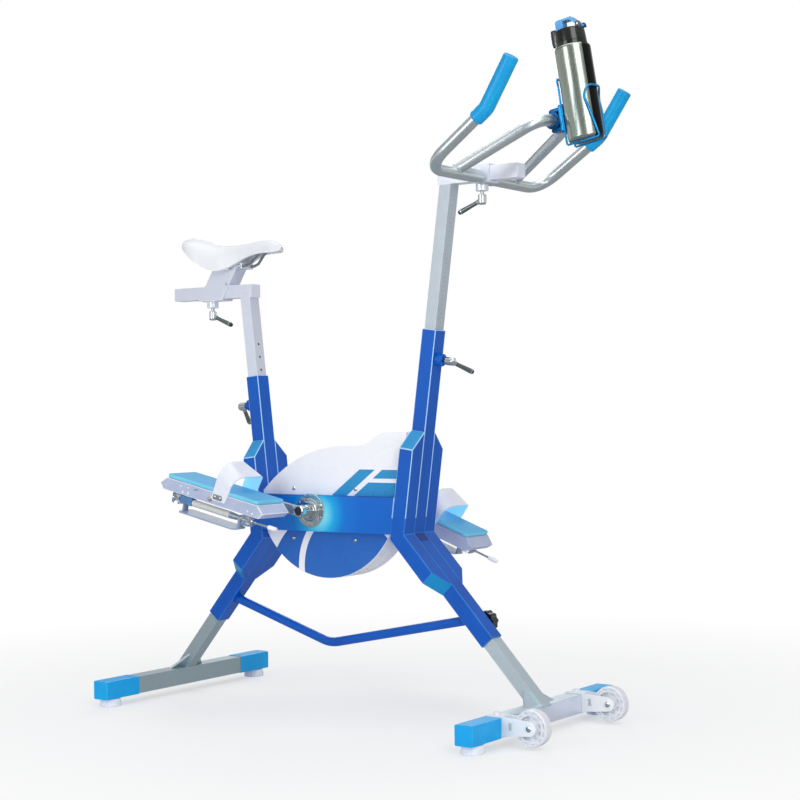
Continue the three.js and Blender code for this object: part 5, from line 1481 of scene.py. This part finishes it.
def strap(side, sign, seat):
    """Lofted from rings that sink and lean to the toe. Both sides are the same part."""
    rings = []
    for i in range(9):
        share = i / 8
        corner = rear_corner + (toe_corner - rear_corner) * share
        outside = strap_path(strap_inner + strap_wall, strap_rear, outer_corner, corner)
        inside = strap_path(strap_inner, strap_rear - strap_top_wall, outer_corner - strap_wall,
                            corner - strap_wall)
        sink = 1 + (strap_front / strap_rear - 1) * share
        x = strap_start + strap_run * share
        rings.append([Vector((x + strap_lean * max(z, 0) / strap_rear, -y,
                              z * (sink if z > 0 else 1))) for y, z in outside + inside[::-1]])
    bm = lofted(rings)
    # The inner faces take the glowing inner material: painted light
    for i, face in enumerate(bm.faces):
        face.material_index = int(i % len(rings[0]) >= len(outside) and len(face.verts) == 4)
    obj = painted(shown(f"{side}_strap_arch", bm, seat), strap_plastic, strap_inside_glow)
    hollowed(obj, rod(8.2, -60, 60, 32), seat @ place(Vector(), x=forward, z=sideways))
    dress(soften(obj, 0.9), strap_plastic, f"{side}_pedal", f"{side}_foot_strap")
    plate = slab(rounded_box(27, 12, 3), 0, 1.4 * mm, "xy")
    where = seat @ place(point(24, sign * 50.2, 7), x=forward, z=sideways * sign)
    dress(rounded(f"{side}_strap_plate", plate, where, 0.4), bright_wire, f"{side}_pedal")


print("strap ready")

# %% The rod under the outer edge
rod_out, rod_drop = 31, -27


def rod_place(sign, seat, **directions):
    """The middle of the rod, in the pedal's directions or in two others of them."""
    middle = point(0, sign * rod_out, rod_drop)
    return seat @ (place(middle, **directions) if directions else Matrix.Translation(middle))


def flap_rod(side, sign, seat):
    """The rod with its sleeve, its two knuckles and the index pin of the flap."""
    body = f"{side}_pedal"
    along = rod_place(sign, seat, y=sideways, z=forward)
    pieces = {
        "rod": (chrome, [(0, -116), (4, -116), (4, 125), (0, 125)]),
        "sleeve": (pearl, [(0, -60), (7.4, -60), (8, -59), (8, 53), (7.4, 54), (0, 54)]),
        "cone": (bright_plastic, [(0, 54.2), (7.8, 54.2), (7.8, 60), (5.2, 88), (4.3, 90), (0, 90)]),
        "pin": (chrome, [(0, 124), (3.4, 124), (3.4, 130), (2.5, 131), (2.5, 168), (0, 168)]),
        "pin_knob": (white_rubber, [(0, 167), (4, 167), (5, 168.4), (5, 188), (3.8, 191), (0, 191)]),
    }
    for name, (material, profile) in pieces.items():
        replaced = [f"{side}_flap_rod"] if name == "rod" else []
        dress(spun(f"{side}_flap_{name}", profile, along), material, body, *replaced)
    blocks = {
        "rear_knuckle": (bright_plastic, (-122, -10, -12.3), (-98, 10, 13.7), 4.5),
        "clear_block": (clear_blue, (-97.6, -8.6, -8), (-60.6, 8.6, 12), 2.5),
        "front_knuckle": (bright_plastic, (93, -10, -12.3), (118, 10, 13.7), 4.5),
    }
    where = rod_place(sign, seat)
    for name, (material, low, high, round_off) in blocks.items():
        dress(rounded(f"{side}_{name}", block(low, high), where, round_off, 4), material, body)
    collar = spun("collar", [(0, 0), (7.6, 0), (8.2, 1), (8.2, 4.4), (6.6, 6), (0, 6.4)])
    ahead = (seat.to_3x3() @ forward).normalized()
    spots = [(along @ point(0, 0, z), ahead * way, sideways)
             for z, way in ((87, 1), (117.6, 1), (-115.6, -1))]
    repeated(f"{side}_rod_collars", collar, spots, chrome, body)


print("rod ready")

# %% The flap
flap_low, flap_high = -25 * mm, -22 * mm
flap_slope = 0.03
ear_radius, ear_width = 8 * mm, 5


def flap(side, sign, seat):
    """The clear paddle, with an ear at each end whose hole takes the rod."""
    where = rod_place(sign, seat)
    plate = slab(rounded_box(174, 50, 12, 8), flap_low, flap_high, "xy")
    for vert in plate.verts:
        vert.co.z -= sign * vert.co.y * flap_slope
    plate = rounded(f"{side}_flap_plate", plate, where @ Matrix.Translation(point(1, 0, 0)), 0.8)
    dress(plate, flap_plastic, f"{side}_flap", f"{side}_resistance_flap")
    for end, start in (("rear", -86), ("front", 83)):
        outline = [(-ear_radius, -23 * mm), (ear_radius, -23 * mm)]
        outline += arc((0, 0), ear_radius, 0, 180, 16)
        ear = slab(outline, start * mm, (start + ear_width) * mm, "yz")
        ear = shown(f"{side}_{end}_ear", ear, where)
        hollowed(ear, rod(4.4, -200, 200), rod_place(sign, seat, y=sideways, z=forward))
        dress(soften(ear, 0.7, 2, 50), flap_plastic, f"{side}_flap")


print("flap ready")

# %% Both pedals
pedal_reach = 167 * mm
outer_wall = 46.9


def pedal(side, sign):
    body = f"{side}_pedal"
    toe = joint_at(f"{side}_flap_turn")[1]
    seat = place(joint_at(f"{side}_pedal_spin")[0] + sideways * sign * pedal_reach, x=toe, y=sideways)
    # The body's rolled edges are near white: painted highlight
    eased(f"{side}_pedal_body", 1.8, pedal_plastic, body, 3, pedal_highlight_edge)
    pad = slab(rounded_box(277, 94, 7, 5), 16.8 * mm, 25.8 * mm, "xy")
    pad = painted(shown(f"{side}_pad_foam", pad, seat), pad_foam, pad_side)
    up = seat.to_3x3() @ upward
    for face in pad.data.polygons:
        face.material_index = int(abs(face.normal.dot(up)) < 0.5)
    pad = soften(pad, 2.2, 3)
    dress(pad, pad_foam, body, f"{side}_foot_pad")
    strap(side, sign, seat)
    flap_rod(side, sign, seat)
    flap(side, sign, seat)

    def small_parts(name, part, rows, material, y=outer_wall):
        """Puts a small part at places along the pedal's outer side."""
        spots = [(seat @ point(x, sign * y, z), sideways * sign, forward) for x, z in rows]
        repeated(f"{side}_{name}", part, spots, material, body)

    slot = rounded("slot", block((-7, -0.8, -0.2), (7, 0.8, 0.4)), Matrix(), 0.3, 1)
    cap = [(0, 0), (7.6, 0), (7.6, 1.6), (6.6, 2.8), (3.4, 3), (3, 2), (0, 2)]
    small_parts("pedal_studs", button_head(2.6, 1.2), [(-93, 6), (-70, 7), (114, -3), (128, -5)],
                strap_plastic)
    small_parts("pedal_pins", button_head(3.4, 0.8), [(-85, -6), (-69, -5)], strap_plastic)
    small_parts("pedal_slot", slot, [(-46, 8)], black_plastic)
    small_parts("strap_screws", button_head(3.6, 1.8), [(16, 7), (32, 7)], chrome, 51.4)
    small_parts("spindle_cap", spun("cap", cap, steps=32), [(0, 0)], chrome)


for side, sign in both_sides:
    pedal(side, sign)
print("pedals dressed")

# %% [markdown]
# ## Feet and wheels
# The bike stands on two cross tubes with rubber feet. The front one also carries two wheels for
# tipping the bike and rolling it out of the water. A bead runs round each leg where it meets its
# cross tube: every point of the leg's outline slides down along the leg until it meets the tube.

# %% Feet
beam_top, beam_half = 58 * mm, 20 * mm
# The rolled edges of both foot frames take near white metal, a painted highlight
rear_leg = eased("rear_foot_frame", 1.6, anodised, "frame", 3, highlight_metal_edge)
spots = [(rear_knee + rear_leg_down * s * mm - rear_out * post_half_depth, -rear_out, sideways)
         for s in (297, 333, 369)]
drilled(rear_leg, spots, 3.6, 1.6)
front_leg_metal = drawn_metal("front_leg_tube", (238, 242, 255), (222, 228, 244), (60, 500, 500),
                              0.34, 0.5, (beam_top, (200, 214, 222)))
eased("front_foot_frame", 1.6, front_leg_metal, "front_foot", 3, highlight_metal_edge)
foot_profile = [(0, 0), (24.3, 0), (25.5, 1.2), (25.4, 3), (23, 15), (22.5, 16.6), (21.4, 17.7),
                (0, 17.7)]


def leg_weld(end, knee, down, body):
    """The bead round the end of a leg on its cross tube."""
    low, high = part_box(f"{end}_left_foot")
    wall_x = (low.x + high.x) / 2 - math.copysign(beam_half, down.x)
    across = place(Vector(), y=sideways, z=down).to_3x3() @ forward
    ring = []
    for a, b in rounded_box(29.6, 33.6, 3, 3):
        spot = knee + across * a + sideways * b
        ring.append(spot + down * max((beam_top - spot.z) / down.z, (wall_x - spot.x) / down.x))
    weld(f"{end}_leg_weld", ring, body, 1.5, True, anodised)


for end, knee, down, body in (("rear", rear_knee, rear_leg_down, "frame"),
                              ("front", front_knee, front_leg_down, "front_foot")):
    leg_weld(end, knee, down, body)
    for side, sign in both_sides:
        # The caps' rolled edges are light cyan: painted highlight
        eased(f"{end}_{side}_cap", 2, sky_plastic, body, 3, cap_highlight_edge)
        low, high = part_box(f"{end}_{side}_foot")
        middle = Vector(((low.x + high.x) / 2, (low.y + high.y) / 2, 0))
        rubber = spun(f"{end}_{side}_foot_rubber", foot_profile, Matrix.Translation(middle), 48)
        dress(rubber, white_rubber, body, f"{end}_{side}_foot")
print("feet dressed")

# %% Wheels
bracket_enamel = moulded("bracket_enamel", "satin_silver", (248, 251, 254), (236, 242, 248),
                         rough=0.3, coat=0.2)
rim = [(26, -11.4), (36, -12), (37.6, -10), (38, -7), (38, 7), (37.6, 10), (36, 12), (26, 11.4),
       (26, 7), (14, 7), (13, 8), (13, 12), (4.6, 12), (4.6, -12), (13, -12), (13, -8), (14, -7),
       (26, -7), (26, -11.4)]
washer = [(4.8, -0.2), (11, -0.2), (11, 0.8), (10, 1.4), (5, 1.4), (4.8, -0.2)]
for side, sign in both_sides:
    centre = joint_at(f"{side}_wheel_spin")[0]
    wheel = spun(f"{side}_wheel_tread", rim, place(centre, x=forward, z=sideways * sign), 64)
    for reach, length, depth, count in ((31.4, 10, 9.4, 12), (20, 9, 4.6, 8)):
        tool = shown("tool", slab(rounded_box(3, length, 1.4), 0, 9 * mm, "xy"))
        spokes = [Vector((x, 0, z))
                  for x, z in arc((0, 0), 1, 180 / count, 360 - 180 / count, count - 1)]
        spots = [(centre + spoke * reach * mm + sideways * face * depth * mm, sideways * face, spoke)
                 for face in (1, -1) for spoke in spokes]
        carve(wheel, copies("tools", tool, spots))
    dress(smooth(wheel, 30), wheel_plastic, f"{side}_wheel", f"{side}_wheel")
    eased(f"{side}_wheel_bracket", 1, bracket_enamel, "front_foot")
    for name, part, reach, material in (("washers", spun("washer", washer, steps=40), 17, white_rubber),
                                        ("bolts", button_head(6.4, 2.8), 18.2, chrome)):
        spots = [(centre + sideways * face * reach * mm, sideways * face, forward) for face in (1, -1)]
        repeated(f"{side}_wheel_{name}", part, spots, material, "front_foot")
print("wheels dressed")

# %% [markdown]
# ## Levers and the leg knob
# Each clamp is a steel screw with a chrome hub and a dark steel handle that leans out from it,
# with a black tip behind a bright ring. The plain solid says which way the handle points: its
# farthest corner is at the handle's tip.

# %% Levers
handle_lean = math.radians(22)
lever_steel = drawn_metal("lever_dark_steel", (150, 164, 158), (112, 124, 120), (160, 160, 160),
                          rough=0.2, depth=0.01, slot="lever_black")


def lever(node):
    """The screw, hub and handle of one clamp."""
    spot, aim = joint_at(node + "_turn")
    corners = [v.co - spot for v in nodes[node].data.vertices]
    if sum(corners, Vector()).dot(aim) < 0:
        aim = -aim
    flat = max((c - aim * c.dot(aim) for c in corners), key=lambda c: c.length).normalized()
    seat = place(spot, y=flat, z=aim)
    lean = flat * math.cos(handle_lean) + aim * math.sin(handle_lean)
    rise = place(seat @ point(0, 0, 35), x=flat.cross(aim), z=lean)
    pieces = {
        "screw": (bright_wire, seat, [(0, -3), (4, -3), (4, 23), (5.6, 23), (5.6, 25), (0, 25)]),
        "hub": (chrome, seat, [(0, 24), (8.6, 24), (9.5, 25), (9.5, 41), (9, 43.4), (7.4, 45.3),
                               (4.6, 46), (0, 46)]),
        "handle": (lever_steel, rise, [(0, 0), (5, 0), (4.7, 12), (4.9, 30), (5.6, 50), (5.7, 59),
                                       (0, 59)]),
        "tip": (gloss_black, rise, [(0, 59), (5.5, 59), (5.5, 62), (4.4, 65), (2.2, 66), (0, 66)]),
        "ring": (chrome, rise, [(5, 56.4), (5.9, 56.6), (6.2, 58), (5.9, 59.6), (5, 59.8)]),
        "collar": (chrome, rise, [(4.6, 9), (6.1, 9.4), (6.1, 13), (4.7, 14)]),
    }
    for name, (material, where, profile) in pieces.items():
        replaced = [node] if name == "handle" else []
        dress(spun(f"{node}_{name}", profile, where), material, node, *replaced)


for node in ("saddle_lever", "seat_height_lever", "bar_reach_lever", "bar_height_lever"):
    lever(node)
eased("front_leg_knob", 1.4, gloss_black, "front_leg_knob", 3)
print("levers dressed")
